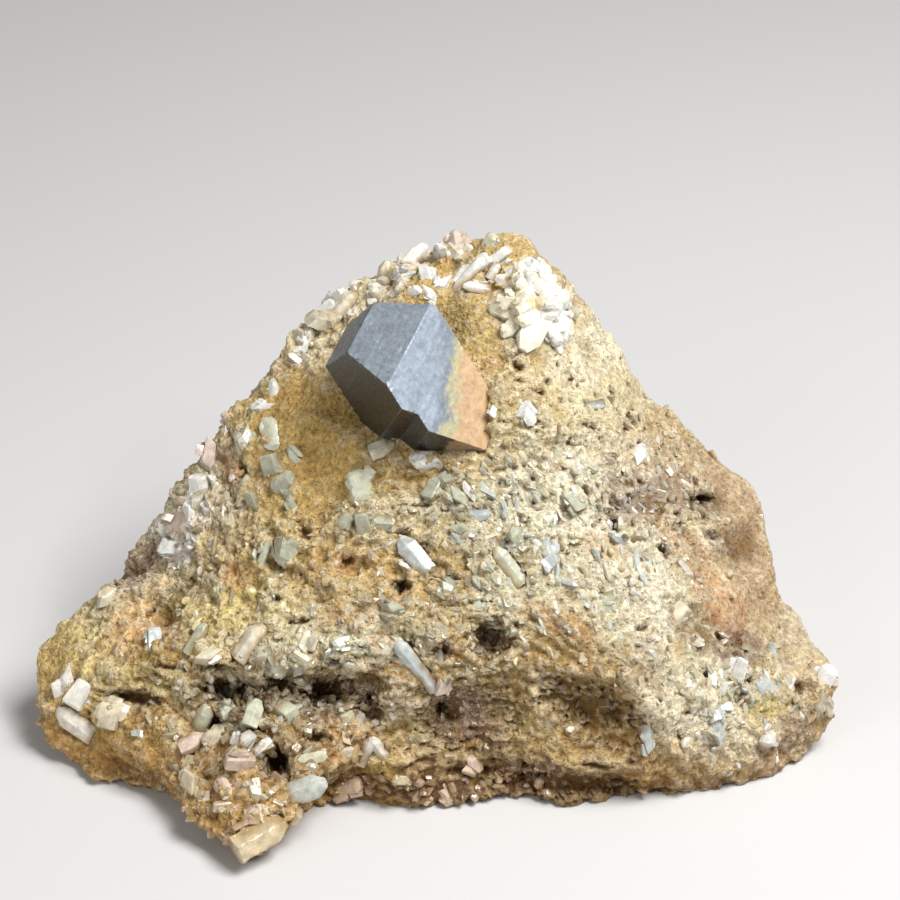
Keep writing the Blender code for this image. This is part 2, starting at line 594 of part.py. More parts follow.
def loose_prism(name, tree, prism, grow=0.0):
    """A crystal that is a piece of its own, seated a little deeper than the small ones."""
    return place_prism(name, tree, prism, LOOSE_SINK * prism.width * MM, grow)


def twin_crystal(name, tree, grow=0.0):
    """The two crystals of the V, as one solid."""
    first = loose_prism(name, tree, TWIN_PRISMS[0], grow)
    second = loose_prism("twin_arm", tree, TWIN_PRISMS[1], grow)
    combine(first, [second], "UNION")
    return first


def white_tuft(name, tree, grow=0.0):
    """The tuft of white blades, which fan out over a low dome."""
    root, normal, _ = meet_rock(tree, *TUFT_MIDDLE)
    bm = bmesh.new()
    bmesh.ops.create_icosphere(bm, subdivisions=2, radius=TUFT_CORE_RADIUS + grow)
    flatten = Matrix.Scale(TUFT_CORE_HEIGHT / TUFT_CORE_RADIUS, 4, normal)
    bmesh.ops.transform(bm, matrix=flatten, verts=bm.verts)
    tuft = object_from(bm, name, Matrix.Translation(root))
    blades = []
    for blade in TUFT_BLADES:
        place, _, _ = meet_rock(tree, blade.across, blade.down)
        share = min(1.0, (place - root).length / TUFT_CORE_RADIUS)
        rise = TUFT_CORE_HEIGHT * (1.0 - share * share)
        blades.append(place_prism("blade", tree, blade, -rise, grow))
    combine(tuft, blades, "UNION")
    return tuft


def scattered_prisms(rock):
    """Small crystals on the back and the ends of the block."""
    picker = random.Random(SCATTER_SEED)
    faces = [face for face in rock.data.polygons if face.normal.dot(TOWARD) < 0.0]
    faces = [face for face in faces if face.normal.z > STEEPEST_OVERHANG]
    faces = [face for face in faces if face.center.z > SCATTERED_ABOVE]
    made = []
    for face in picker.sample(faces, SCATTERED_PRISMS):
        normal = Vector(face.normal)
        flat = normal.orthogonal().normalized()
        flat.rotate(Matrix.Rotation(picker.uniform(0.0, math.tau), 3, normal))
        width = picker.uniform(*SCATTERED_WIDTHS) * MM
        bm = prism_mesh(width * picker.uniform(*SCATTERED_LENGTHS), width)
        frame = lying_frame(Vector(face.center), normal, flat, SCATTERED_LIFT, 0.0)
        made.append(object_from(bm, "small_prism", frame))
    return made


def seat(crystal, rock, finish):
    """Gives a crystal its finish and makes it move with the rock that holds it."""
    crystal.data.materials.append(finish)
    crystal.parent = rock


def main():
    """Builds the specimen."""
    clear_scene()
    finishes = {name: material(name, finish) for name, finish in FINISHES.items()}
    rock = make_rock()
    tree = tree_of(rock)
    sockets = [
        make_anatase("socket", FIT_GAP),
        white_tuft("socket", tree, FIT_GAP),
        twin_crystal("socket", tree, FIT_GAP),
    ]
    for prism, _ in LOOSE_PRISMS.values():
        sockets.append(loose_prism("socket", tree, prism, FIT_GAP))
    fixed = [place_prism("small_prism", tree, prism) for prism in FIXED_PRISMS]
    combine(rock, fixed + scattered_prisms(rock), "UNION")
    merge_facets(rock, MATRIX_TRIANGLES)
    combine(rock, sockets, "DIFFERENCE")
    cut_underside(rock)
    rock.data.materials.append(finishes["rock"])
    seat(make_anatase("anatase_crystal"), rock, finishes["anatase"])
    seat(white_tuft("white_tuft", tree), rock, finishes["white"])
    seat(twin_crystal("white_twin", tree), rock, finishes["white"])
    for name, (prism, colour) in LOOSE_PRISMS.items():
        seat(loose_prism(name, tree, prism), rock, finishes[colour])


main()
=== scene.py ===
"""Looks of the anatase specimen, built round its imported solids.

Units are metres and +Z is up. A place that was read from the photograph is a pixel of its 900 x 900
frame. Sight turns it into a line, and the line meets the stone where the piece or the stain belongs,
so that everything sits on the stone from any side.
"""

import logging
import math
from contextlib import contextmanager
from dataclasses import dataclass
from enum import Enum
from typing import Callable, Iterator, TypeVar

import bpy
import numpy as np
from mathutils import Matrix, Vector, noise
from mathutils.bvhtree import BVHTree


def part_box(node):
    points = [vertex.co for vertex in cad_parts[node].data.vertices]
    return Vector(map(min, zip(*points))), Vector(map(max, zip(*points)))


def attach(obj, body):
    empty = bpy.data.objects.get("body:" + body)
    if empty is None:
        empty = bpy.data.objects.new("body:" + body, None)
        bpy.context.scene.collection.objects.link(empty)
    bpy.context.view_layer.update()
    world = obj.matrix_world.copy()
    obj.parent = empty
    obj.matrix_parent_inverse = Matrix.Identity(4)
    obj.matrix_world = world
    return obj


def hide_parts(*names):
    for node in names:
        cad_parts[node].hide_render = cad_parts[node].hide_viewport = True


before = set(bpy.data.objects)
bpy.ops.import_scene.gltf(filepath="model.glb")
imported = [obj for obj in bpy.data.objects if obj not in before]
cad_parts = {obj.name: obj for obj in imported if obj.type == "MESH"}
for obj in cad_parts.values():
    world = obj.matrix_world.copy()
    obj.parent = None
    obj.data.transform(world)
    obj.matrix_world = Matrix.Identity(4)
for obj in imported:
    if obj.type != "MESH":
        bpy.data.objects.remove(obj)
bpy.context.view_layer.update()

MM = 0.001
BODY = "root"
Array = np.ndarray
Made = TypeVar("Made")
log = logging.getLogger("specimen")

# How near to a cut a corner counts as lying on it
SNAP = 1e-7


class Tone(Enum):
    """Colours of the stone and its crystals, as sRGB from 0 to 255."""

    TAN = (184, 156, 96)
    CREAM = (200, 186, 148)
    BEIGE = (186, 162, 132)
    PALE = (224, 214, 188)
    OCHRE = (162, 126, 62)
    SAND = (192, 156, 84)
    FAWN = (160, 132, 98)
    BROWN = (96, 66, 32)
    # Near black, for painted shade
    SOOT = (44, 28, 15)
    PURPLE = (122, 96, 86)
    PINK = (226, 206, 190)
    IVORY = (244, 234, 206)
    RUST = (176, 112, 56)
    ORANGE = (216, 164, 100)
    YELLOW = (224, 204, 130)
    MOSS = (118, 102, 46)
    GREY_GREEN = (208, 208, 184)
    GREEN = (192, 192, 168)
    BLUE_GREY = (204, 210, 206)
    GREY = (214, 194, 170)
    WHITE = (246, 243, 234)
    # Steel, pale steel and graphite are painted reflection and shade on the anatase, face by face
    STEEL = (126, 135, 143)
    PALE_STEEL = (160, 171, 184)
    GRAPHITE = (18, 16, 14)
    SLATE = (112, 119, 124)
    STAIN = (222, 186, 144)
    STAIN_EDGE = (206, 194, 146)

    def linear(self) -> Array:
        """The tone as linear light."""
        share = np.array(self.value) / 255.0
        return np.where(share <= 0.04045, share / 12.92, ((share + 0.055) / 1.055) ** 2.4)


@dataclass(frozen=True)
class Sight:
    """The line of sight that ties the photograph's pixels to the specimen."""

    elevation: float = math.radians(32.0)
    distance: float = 300.0 * MM
    target: tuple[float, float, float] = (1.6 * MM, -1.4 * MM, 32.2 * MM)
    pixel: float = 0.105 * MM
    picture: float = 900.0
    sensor: float = 36.0
    nearest: float = 10.0 * MM

    @property
    def right(self) -> Vector:
        """Towards the photograph's right side."""
        return Vector((1.0, 0.0, 0.0))

    @property
    def up(self) -> Vector:
        """Towards the photograph's upper side."""
        return Vector((0.0, math.sin(self.elevation), math.cos(self.elevation)))

    @property
    def toward(self) -> Vector:
        """Towards the viewer."""
        return Vector((0.0, -math.cos(self.elevation), math.sin(self.elevation)))

    @property
    def eye(self) -> Vector:
        """Where the viewer stands."""
        return Vector(self.target) + self.toward * self.distance

    def line(self, across: float, down: float) -> Vector:
        """The direction from the eye through a pixel.

        Args:
            across: the pixel's place from the left.
            down: the pixel's place from the top.

        Returns:
            The direction, one unit long.
        """
        side = (across - self.picture / 2.0) * self.pixel
        rise = (self.picture / 2.0 - down) * self.pixel
        there = Vector(self.target) + self.right * side + self.up * rise
        return (there - self.eye).normalized()

    def pixels(self, places: Array) -> Array:
        """The pixels at which places are seen.

        Args:
            places: one place in each row.

        Returns:
            One (across, down) pixel in each row.
        """
        offsets = places - np.array(self.eye)
        depth = -offsets @ np.array(self.toward)
        scale = self.distance / (self.pixel * depth)
        across = self.picture / 2.0 + offsets @ np.array(self.right) * scale
        down = self.picture / 2.0 - offsets @ np.array(self.up) * scale
        return np.stack((across, down), axis=1)

    def camera(self) -> bpy.types.Object:
        """The camera that sees the specimen as the photograph does.

        Returns:
            The camera, which is in the scene.
        """
        data = bpy.data.cameras.new("camera")
        data.sensor_width = self.sensor
        data.lens = self.distance / self.pixel * self.sensor / self.picture
        data.clip_start = self.nearest
        camera = bpy.data.objects.new("camera", data)
        turn = Matrix((self.right, self.up, self.toward)).transposed().to_4x4()
        camera.matrix_world = Matrix.Translation(self.eye) @ turn
        bpy.context.scene.collection.objects.link(camera)
        return camera


SIGHT = Sight()


def smoothstep(low: float, high: float, values: Array) -> Array:
    """A soft step from 0 at low to 1 at high.

    Args:
        low: the value at which the step begins.
        high: the value at which it ends.
        values: what is stepped.

    Returns:
        The steps, from 0 to 1.
    """
    share = np.clip((values - low) / (high - low), 0.0, 1.0)
    return share * share * (3.0 - 2.0 * share)


def soft_noise(places: Array, size: float, shift: float = 0.0) -> Array:
    """Smooth noise.

    Args:
        places: one place in each row.
        size: how wide the noise's lumps are.
        shift: a number that sets this noise apart from the others.

    Returns:
        The noise at each place, from about -1 to 1.
    """
    scaled = (places / size + shift).tolist()
    return np.array([noise.noise(place) for place in scaled])


def cell_noise(places: Array, size: float) -> Array:
    """How deep inside its cell each place is, in noise made of cells.

    Args:
        places: one place in each row.
        size: how wide the cells are.

    Returns:
        0 where two cells meet, rising to about 1 in a cell's middle.
    """
    scaled = (places / size).tolist()
    nearest = np.array([noise.voronoi(place)[0][:2] for place in scaled])
    return nearest[:, 1] - nearest[:, 0]


def read_values(items: bpy.types.bpy_prop_collection, name: str, width: int, kind: type) -> Array:
    """One value of every item in a Blender collection.

    Args:
        items: the collection, such as a mesh's vertices.
        name: the value's name.
        width: how many numbers the value has.
        kind: the type of its numbers.

    Returns:
        One value in each row.
    """
    flat = np.empty(len(items) * width, kind)
    items.foreach_get(name, flat)
    return flat.reshape(-1, width)


def vertex_places(obj: bpy.types.Object) -> Array:
    """The places of an object's vertices, one in each row."""
    return read_values(obj.data.vertices, "co", 3, float)


def vertex_normals(obj: bpy.types.Object) -> Array:
    """The outward directions at an object's vertices, one in each row."""
    return read_values(obj.data.vertex_normals, "vector", 3, np.float32).astype(float)


def corner_vertices(obj: bpy.types.Object) -> Array:
    """The vertex at each corner of an object's faces, face by face."""
    return read_values(obj.data.loops, "vertex_index", 1, int).ravel()


def face_sizes(obj: bpy.types.Object) -> Array:
    """How many corners each of an object's faces has."""
    return read_values(obj.data.polygons, "loop_total", 1, int).ravel()


def move_vertices(obj: bpy.types.Object, places: Array) -> None:
    """Puts an object's vertices at new places."""
    obj.data.vertices.foreach_set("co", places.ravel())
    obj.data.update()


def paint(obj: bpy.types.Object, colours: Array, domain: str = "POINT") -> None:
    """Gives an object its colours, which its material reads as the tint.

    Args:
        obj: the object.
        colours: a colour in each row, which is held between 0 and 1.
        domain: what is coloured, as Blender names it: the vertices or the faces' corners.
    """
    tint = obj.data.attributes.new("tint", "FLOAT_COLOR", domain)
    opaque = np.ones((len(colours), 1))
    tint.data.foreach_set("color", np.hstack((np.clip(colours, 0.0, 1.0), opaque)).ravel())


def choose_faces(obj: bpy.types.Object, chosen: Array) -> None:
    """Selects an object's faces, and nothing else of it.

    Args:
        obj: the object, which is not in edit mode.
        chosen: a truth value for each face.
    """
    mesh = obj.data
    mesh.vertices.foreach_set("select", np.zeros(len(mesh.vertices), bool))
    mesh.edges.foreach_set("select", np.zeros(len(mesh.edges), bool))
    mesh.polygons.foreach_set("select", chosen)


def face_normals(obj: bpy.types.Object) -> Array:
    """The outward directions of an object's faces, one in each row."""
    return np.array([face.normal for face in obj.data.polygons]).reshape(-1, 3)


def take_up(obj: bpy.types.Object) -> None:
    """Makes an object the only one that operators act on.

    Args:
        obj: the object.
    """
    bpy.ops.object.select_all(action="DESELECT")
    bpy.context.view_layer.objects.active = obj
    obj.select_set(True)


@contextmanager
def editing(obj: bpy.types.Object) -> Iterator[None]:
    """Edit mode on one object, with its faces as what is picked.

    Args:
        obj: the object.

    Returns:
        Nothing to hold: edit mode ends with the block.
    """
    take_up(obj)
    bpy.context.tool_settings.mesh_select_mode = (False, False, True)
    bpy.ops.object.mode_set(mode="EDIT")
    yield
    bpy.ops.object.mode_set(mode="OBJECT")
    obj.select_set(False)


def add_form(add: Callable[..., set[str]], **settings: float) -> bpy.types.Object:
    """Adds one of Blender's own forms to the scene.

    Args:
        add: the operator that adds it.
        settings: the operator's settings.

    Returns:
        The new object.
    """
    bpy.ops.object.select_all(action="DESELECT")
    add(**settings)
    return bpy.context.object


def bevel_edges(width: float) -> None:
    """Bevels every edge of the mesh that is being edited."""
    bpy.ops.mesh.select_all(action="SELECT")
    bpy.ops.mesh.bevel(offset=width, segments=1, affect="EDGES")


def apply_modifier(obj: bpy.types.Object, kind: str, **settings: object) -> None:
    """Adds a modifier to an object and applies it.

    Args:
        obj: the object.
        kind: the modifier's type, as Blender names it.
        settings: the modifier's own settings.
    """
    modifier = obj.modifiers.new(kind.lower(), kind)
    for name, value in settings.items():
        setattr(modifier, name, value)
    take_up(obj)
    bpy.ops.object.modifier_apply(modifier=modifier.name)
    obj.select_set(False)


Cut = tuple[tuple[float, float, float], float, float, float]


def slice_faces(obj: bpy.types.Object, cuts: tuple[Cut, ...]) -> None:
    """Cuts an object's faces into small ones, so that they can be shaped and painted.

    Args:
        obj: the object.
        cuts: a direction, the lowest and highest place along it, and the step between cuts.
    """
    with editing(obj):
        for direction, low, high, step in cuts:
            for level in np.arange(low + step / 2.0, high, step).tolist():
                bpy.ops.mesh.select_all(action="SELECT")
                place = tuple(level * axis for axis in direction)
                bpy.ops.mesh.bisect(plane_co=place, plane_no=direction, threshold=SNAP)


def shade(obj: bpy.types.Object, angle: float) -> None:
    """Shades an object smooth, except over its sharp edges.

    Args:
        obj: the object.
        angle: the angle past which an edge is sharp, in degrees.
    """
    take_up(obj)
    bpy.ops.object.shade_smooth_by_angle(angle=math.radians(angle))
    obj.select_set(False)


def copy_of_node(node: str, name: str) -> bpy.types.Object:
    """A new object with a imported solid's shape, its corners merged.

    Args:
        node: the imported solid's name.
        name: the new object's name.

    Returns:
        The new object, at the solid's own place.
    """
    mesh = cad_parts[node].data.copy()
    mesh.materials.clear()
    obj = bpy.data.objects.new(name, mesh)
    bpy.context.scene.collection.objects.link(obj)
    with editing(obj):
        bpy.ops.mesh.select_all(action="SELECT")
        bpy.ops.mesh.remove_doubles(threshold=0.001 * MM)
    return obj


def tree_of(obj: bpy.types.Object) -> BVHTree:
    """A search tree of an object's surface.

    Args:
        obj: the object.

    Returns:
        The tree, which finds where a line meets the surface and the nearest place on it.
    """
    corners = [vertex.co for vertex in obj.data.vertices]
    faces = [tuple(face.vertices) for face in obj.data.polygons]
    return BVHTree.FromPolygons(corners, faces)


class Ground:
    """The surface of the stone, on which stains and crystals find their places."""

    BLOCK_MIDDLE = Vector((460.0, 560.0))

    def __init__(self, stone: bpy.types.Object) -> None:
        """Reads the stone's surface.

        Args:
            stone: the stone's skin.
        """
        self.tree = tree_of(stone)
        faces = stone.data.polygons
        self.centres = np.array([face.center for face in faces])
        self.normals = np.array([face.normal for face in faces])
        self.areas = np.array([face.area for face in faces])
        self.colours = self._face_colours(stone)
        self.roughness = np.ones(len(faces))

    def _face_colours(self, stone: bpy.types.Object) -> Array:
        """The colour at the first corner of each face.

        Args:
            stone: the stone's skin.

        Returns:
            A colour in each row, or tan throughout where nothing is painted.
        """
        tint = stone.data.attributes.get("tint")
        if tint is None:
            return np.tile(Tone.TAN.linear(), (len(stone.data.polygons), 1))
        first = [face.vertices[0] for face in stone.data.polygons]
        return read_values(tint.data, "color", 4, np.float32)[first, :3].astype(float)

    def meet(self, across: float, down: float) -> tuple[Vector, Vector]:
        """Where a pixel's line of sight meets the stone.

        A pixel just past the stone's edge is moved in until its line meets the stone.

        Args:
            across: the pixel's place from the left.
            down: the pixel's place from the top.

        Returns:
            The place, and the stone's outward direction there.
        """
        pixel = Vector((across, down))
        inward = (self.BLOCK_MIDDLE - pixel).normalized()
        while True:
            place, normal, _, _ = self.tree.ray_cast(SIGHT.eye, SIGHT.line(*pixel))
            if place:
                return place, normal
            pixel += inward


@dataclass(frozen=True)
class Patch:
    """An oval stretch of the stone round a pixel of the photograph.

    Attributes:
        across: the pixel of its middle, from the left.
        down: the pixel of its middle, from the top.
        wide: half its width, in millimetres.
        tall: half its height, in millimetres.
        turn: how far it is turned anticlockwise, in degrees.
        share: how strong it is in its middle.
    """

    across: float
    down: float
    wide: float
    tall: float
    turn: float = 0.0
    share: float = 1.0

    def radius(self, ground: Ground, places: Array) -> Array:
        """How far places are from the middle: 0 there and 1 at the oval's edge.

        Args:
            ground: the stone's surface.
            places: one place in each row.

        Returns:
            The radius of each place.
        """
        middle, _ = ground.meet(self.across, self.down)
        offsets = places - np.array(middle)
        side = offsets @ np.array(SIGHT.right)
        rise = offsets @ np.array(SIGHT.up)
        depth = offsets @ np.array(SIGHT.toward)
        cosine = math.cos(math.radians(self.turn))
        sine = math.sin(math.radians(self.turn))
        along = (side * cosine + rise * sine) / (self.wide * MM)
        beside = (rise * cosine - side * sine) / (self.tall * MM)
        deep = depth / ((self.wide + self.tall) * MM)
        return np.sqrt(along**2 + beside**2 + deep**2)


@dataclass(frozen=True)
class Pit:
    """A hole in the stone.

    Attributes:
        across: the pixel of its middle, from the left.
        down: the pixel of its middle, from the top.
        wide: half its width, in millimetres.
        tall: half its height, in millimetres.
        depth: its depth, in millimetres.
        turn: how far it is turned anticlockwise, in degrees.
    """

    across: float
    down: float
    wide: float
    tall: float
    depth: float
    turn: float = 0.0

    @property
    def patch(self) -> Patch:
        """The stretch of stone that it takes up."""
        return Patch(self.across, self.down, self.wide, self.tall, self.turn)


Stains = tuple[tuple[Tone, tuple[Patch, ...]], ...]


def each(kind: type[Made], *rows: tuple[float, ...]) -> tuple[Made, ...]:
    """Makes one patch, pit or prism of each row of its values."""
    return tuple(kind(*row) for row in rows)


# Stains and weathering of the stone, with painted shade among them, later ones over earlier ones
STAINS: Stains = (
    (Tone.CREAM, each(
        Patch, (640, 520, 15, 17, -35, 0.75), (690, 640, 15, 11, -35, 0.7), (760, 690, 9, 8, 0, 0.6),
        (600, 360, 7, 12, -50, 0.85), (560, 470, 11, 9, 0, 0.6), (90, 660, 6, 7, 0, 0.6),
        (200, 520, 5, 9, -25, 0.6), (380, 280, 9, 3, 35, 0.5), (480, 590, 12, 9, 0, 0.35),
        (300, 640, 12, 5, 0, 0.4),
    )),
    (Tone.BEIGE, each(
        Patch, (740, 480, 7, 9, 0, 0.8), (750, 560, 6, 13, -20, 0.8), (640, 470, 10, 6, 0, 0.6),
        (620, 560, 10, 8, 0, 0.4), (690, 590, 8, 8, 0, 0.5), (140, 540, 6, 6, 0, 0.5),
        (810, 700, 5, 5, 0, 0.5),
    )),
    # Ochre: stains, and painted shade in the patches along the foot near down 785 to 800
    (Tone.OCHRE, each(
        Patch, (480, 660, 9, 4, 0, 0.6), (560, 650, 8, 5, -20, 0.7), (610, 700, 7, 6, -20, 0.75),
        (730, 790, 8, 2.2, 0, 0.6), (500, 800, 12, 2.4, 0, 0.8), (600, 800, 9, 1.8, 0, 0.8),
        (360, 540, 9, 6, 0, 0.5), (440, 560, 9, 4, -10, 0.35), (590, 715, 7, 4.5, -20, 0.75),
        (640, 785, 12, 2.5, 0, 0.6), (110, 748, 8, 4, 0, 0.7), (250, 750, 9, 6, 0, 0.5),
        (150, 650, 4, 4, 0, 0.6), (350, 780, 10, 3, 0, 0.5), (56, 655, 3, 5, 0, 0.6),
        (225, 815, 5, 4, 0, 0.6), (660, 785, 9, 3, 0, 0.6), (235, 785, 6, 5, 0, 0.5),
    )),
    (Tone.SAND, each(
        Patch, (300, 460, 9, 9, 45, 0.7), (325, 405, 6, 6, 45, 0.7), (410, 470, 7, 4, 0, 0.6),
        (320, 460, 5, 12, 30, 0.4), (400, 560, 9, 6, 0, 0.5), (370, 430, 6, 4, 0, 0.5),
        (130, 765, 9, 4, 0, 0.5), (60, 690, 5, 8, 0, 0.4), (220, 690, 9, 5, 0, 0.35),
        (240, 800, 6, 6, 0, 0.4),
    )),
    (Tone.TAN, each(Patch, (465, 315, 6, 6, 0, 0.85), (520, 250, 6, 4, -30, 0.7))),
    (Tone.YELLOW, each(
        Patch, (225, 610, 9, 6, 0, 0.3), (70, 650, 5, 5, 0, 0.35), (150, 680, 8, 2.0, -4, 0.4),
    )),
    (Tone.GREY_GREEN, each(
        Patch, (560, 515, 8, 13, -35, 0.5), (635, 590, 6, 9, -35, 0.45), (420, 520, 10, 4, 0, 0.35),
        (330, 645, 11, 2.6, 0, 0.45), (700, 700, 8, 6, -30, 0.3),
    )),
    (Tone.PALE, each(
        Patch, (730, 740, 7, 3, -20, 0.5), (150, 590, 7, 3, 25, 0.35), (800, 650, 4, 4, 0, 0.5),
        (560, 500, 7, 5, 0, 0.4), (700, 720, 8, 5, -30, 0.4), (640, 590, 9, 4, -30, 0.4),
        (660, 560, 5, 4, 0, 0.3), (590, 470, 9, 5, 0, 0.35), (596, 350, 4, 9, -55, 0.6),
        (188, 528, 2.4, 5, -30, 0.9), (215, 470, 2.4, 6, -25, 0.6), (590, 525, 6, 3, -20, 0.6),
        (680, 700, 7, 4, -30, 0.5), (640, 600, 6, 5, -30, 0.4), (178, 515, 3, 6, -35, 0.8),
        (150, 545, 1.5, 2, 0, 0.7), (590, 770, 6, 1.2, 0, 0.3),
    )),
    (Tone.FAWN, each(
        Patch, (742, 480, 6, 8, 0, 0.65), (755, 560, 5, 9, -15, 0.5), (775, 620, 5, 8, -25, 0.45),
        (738, 542, 4, 4, 0, 0.5), (640, 455, 7, 4, 0, 0.3), (700, 440, 6, 6, 0, 0.5),
        (820, 660, 4, 5, 0, 0.3), (200, 780, 6, 5, 0, 0.5), (740, 775, 9, 2.4, 0, 0.6),
    )),
    # Brown: stains, and painted shade along the foot near down 780 to 800, under the ledges near (230,
    # 694), (330, 697) and (300, 740), in the front hollow near (585, 712), in the pits, and under the
    # anatase near (385, 425)
    (Tone.BROWN, each(
        Patch, (520, 788, 12, 3.0, 0, 0.85), (585, 786, 5, 1.8, 0, 0.7), (450, 782, 7, 3.0, 0, 0.7),
        (320, 785, 8, 2.0, 0, 0.4), (700, 790, 8, 1.6, 0, 0.5), (480, 560, 7, 4, 0, 0.25),
        (540, 800, 12, 2.0, 0, 0.6), (500, 792, 9, 2.0, 0, 0.75), (575, 800, 8, 1.6, 0, 0.8),
        (585, 712, 5, 3.4, -15, 0.2), (480, 690, 5, 3.0, 0, 0.45), (530, 672, 6, 1.6, -12, 0.4),
        (735, 788, 6, 1.6, 0, 0.4), (130, 775, 7, 1.6, -8, 0.6), (120, 700, 5, 1.2, -5, 0.4),
        (230, 694, 6, 2.6, -5, 0.9), (330, 697, 8, 3.0, 0, 0.85), (300, 740, 9, 3.0, 0, 0.6),
        (215, 735, 3, 3.0, 0, 0.6), (265, 660, 6, 0.8, 0, 0.5), (380, 600, 2, 0.8, 0, 0.5),
        (410, 785, 12, 2.6, 0, 0.6), (276, 762, 2.6, 3.0, 0, 0.8), (640, 660, 3, 3, 0, 0.4),
        (582, 692, 5, 2.5, -15, 0.3), (735, 545, 3.4, 2.6, 0, 0.75), (700, 625, 3.4, 3.4, -40, 0.75),
        (738, 650, 2.6, 2.8, 0, 0.7), (700, 505, 3.6, 2.2, 0, 0.7), (562, 793, 8, 1.4, 0, 0.5),
        (200, 575, 2.5, 3.5, 0, 0.4), (224, 450, 1.6, 5.5, 15, 0.5), (385, 425, 5, 2.6, -20, 0.45),
        (480, 782, 9, 3.4, 0, 0.5), (570, 780, 9, 2.6, 0, 0.5),
    )),
    # Painted shade, near black: in the pits near (698, 500), (712, 536) and (276, 762), under the ledges
    # near (230, 694) and (330, 697), and along the foot
    (Tone.SOOT, each(
        Patch, (698, 500, 2.2, 0.6, 5, 0.7), (712, 536, 1.4, 0.5, 0, 0.6), (545, 792, 12, 1.8, 0, 0.5),
        (450, 790, 8, 1.8, 0, 0.35), (230, 694, 5, 1.6, -5, 0.3), (330, 697, 6, 1.8, 0, 0.3),
        (276, 762, 2.0, 2.2, 0, 0.4),
    )),
    (Tone.PURPLE, each(
        Patch, (458, 716, 3.6, 4.2, 0, 0.8), (492, 722, 3.0, 3.2, 0, 0.55), (530, 768, 4.0, 2.0, 0, 0.75),
        (470, 790, 9, 1.8, 0, 0.5), (650, 498, 7, 3.2, 10, 0.8), (738, 650, 3.4, 3.4, 0, 0.6),
        (799, 730, 3, 3.4, 0, 0.6), (774, 757, 3, 2, 0, 0.5), (138, 566, 3.2, 4.4, 0, 0.75),
        (178, 630, 2.2, 2.2, 0, 0.6), (345, 700, 3.0, 1.8, 0, 0.5), (402, 700, 4, 2.6, 0, 0.35),
        (125, 600, 4, 1.5, 20, 0.35),
    )),
    (Tone.RUST, each(
        Patch, (233, 577, 1.8, 2.2, 0, 0.7), (228, 470, 1.6, 3.4, 0, 0.5), (345, 565, 1.2, 1.4, 0, 0.6),
        (352, 618, 2.6, 1.2, 0, 0.55), (380, 640, 1.6, 1.4, 0, 0.4), (445, 650, 2.0, 1.6, 0, 0.45),
        (722, 610, 4.6, 2.4, -40, 0.4), (685, 550, 5.4, 1.8, -50, 0.45), (560, 622, 4.4, 1.6, -20, 0.4),
    )),
    (Tone.ORANGE, each(
        Patch, (150, 622, 4.4, 3.0, -20, 0.6), (603, 548, 3.0, 1.4, -25, 0.55),
        (120, 640, 3.0, 2.2, 0, 0.4), (398, 668, 2.0, 1.2, 0, 0.5), (725, 585, 3.0, 1.4, -45, 0.35),
        (350, 740, 4.0, 3.4, 0, 0.4),
    )),
    (Tone.YELLOW, each(
        Patch, (212, 612, 5.0, 2.6, 20, 0.45), (766, 708, 3.0, 1.2, 0, 0.5), (380, 762, 2.6, 1.8, 0, 0.6),
        (85, 715, 3.4, 3.4, 0, 0.5), (365, 492, 1.6, 1.0, 0, 0.6),
    )),
    (Tone.MOSS, each(Patch, (172, 607, 1.9, 2.4, 0, 0.8), (690, 565, 2.0, 2.0, 0, 0.3))),
)

# Tones that come and go all over the stone: the size of their patches in mm, and their share
MOTTLING = (
    (Tone.PALE, 5.0, 0.5), (Tone.GREY_GREEN, 4.0, 0.4), (Tone.OCHRE, 6.0, 0.4),
    (Tone.RUST, 3.5, 0.3), (Tone.PURPLE, 6.0, 0.3), (Tone.BEIGE, 3.0, 0.4),
)

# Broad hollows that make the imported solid's own ones a little deeper, and the ridges beside them,
# which have a negative depth
HOLLOWS = each(
    Pit, (588, 702, 6.0, 3.0, 1.5, -14), (608, 722, 5.4, 3.2, 1.2, -25), (646, 700, 5.6, 1.5, -0.8, -52),
    (584, 671, 4.4, 0.9, -0.6, -8), (600, 764, 8.0, 1.2, -0.6, -4), (470, 716, 6.0, 4.0, 1.0),
    (560, 786, 9.0, 1.4, 1.2), (300, 705, 9.0, 2.2, 1.2),
)

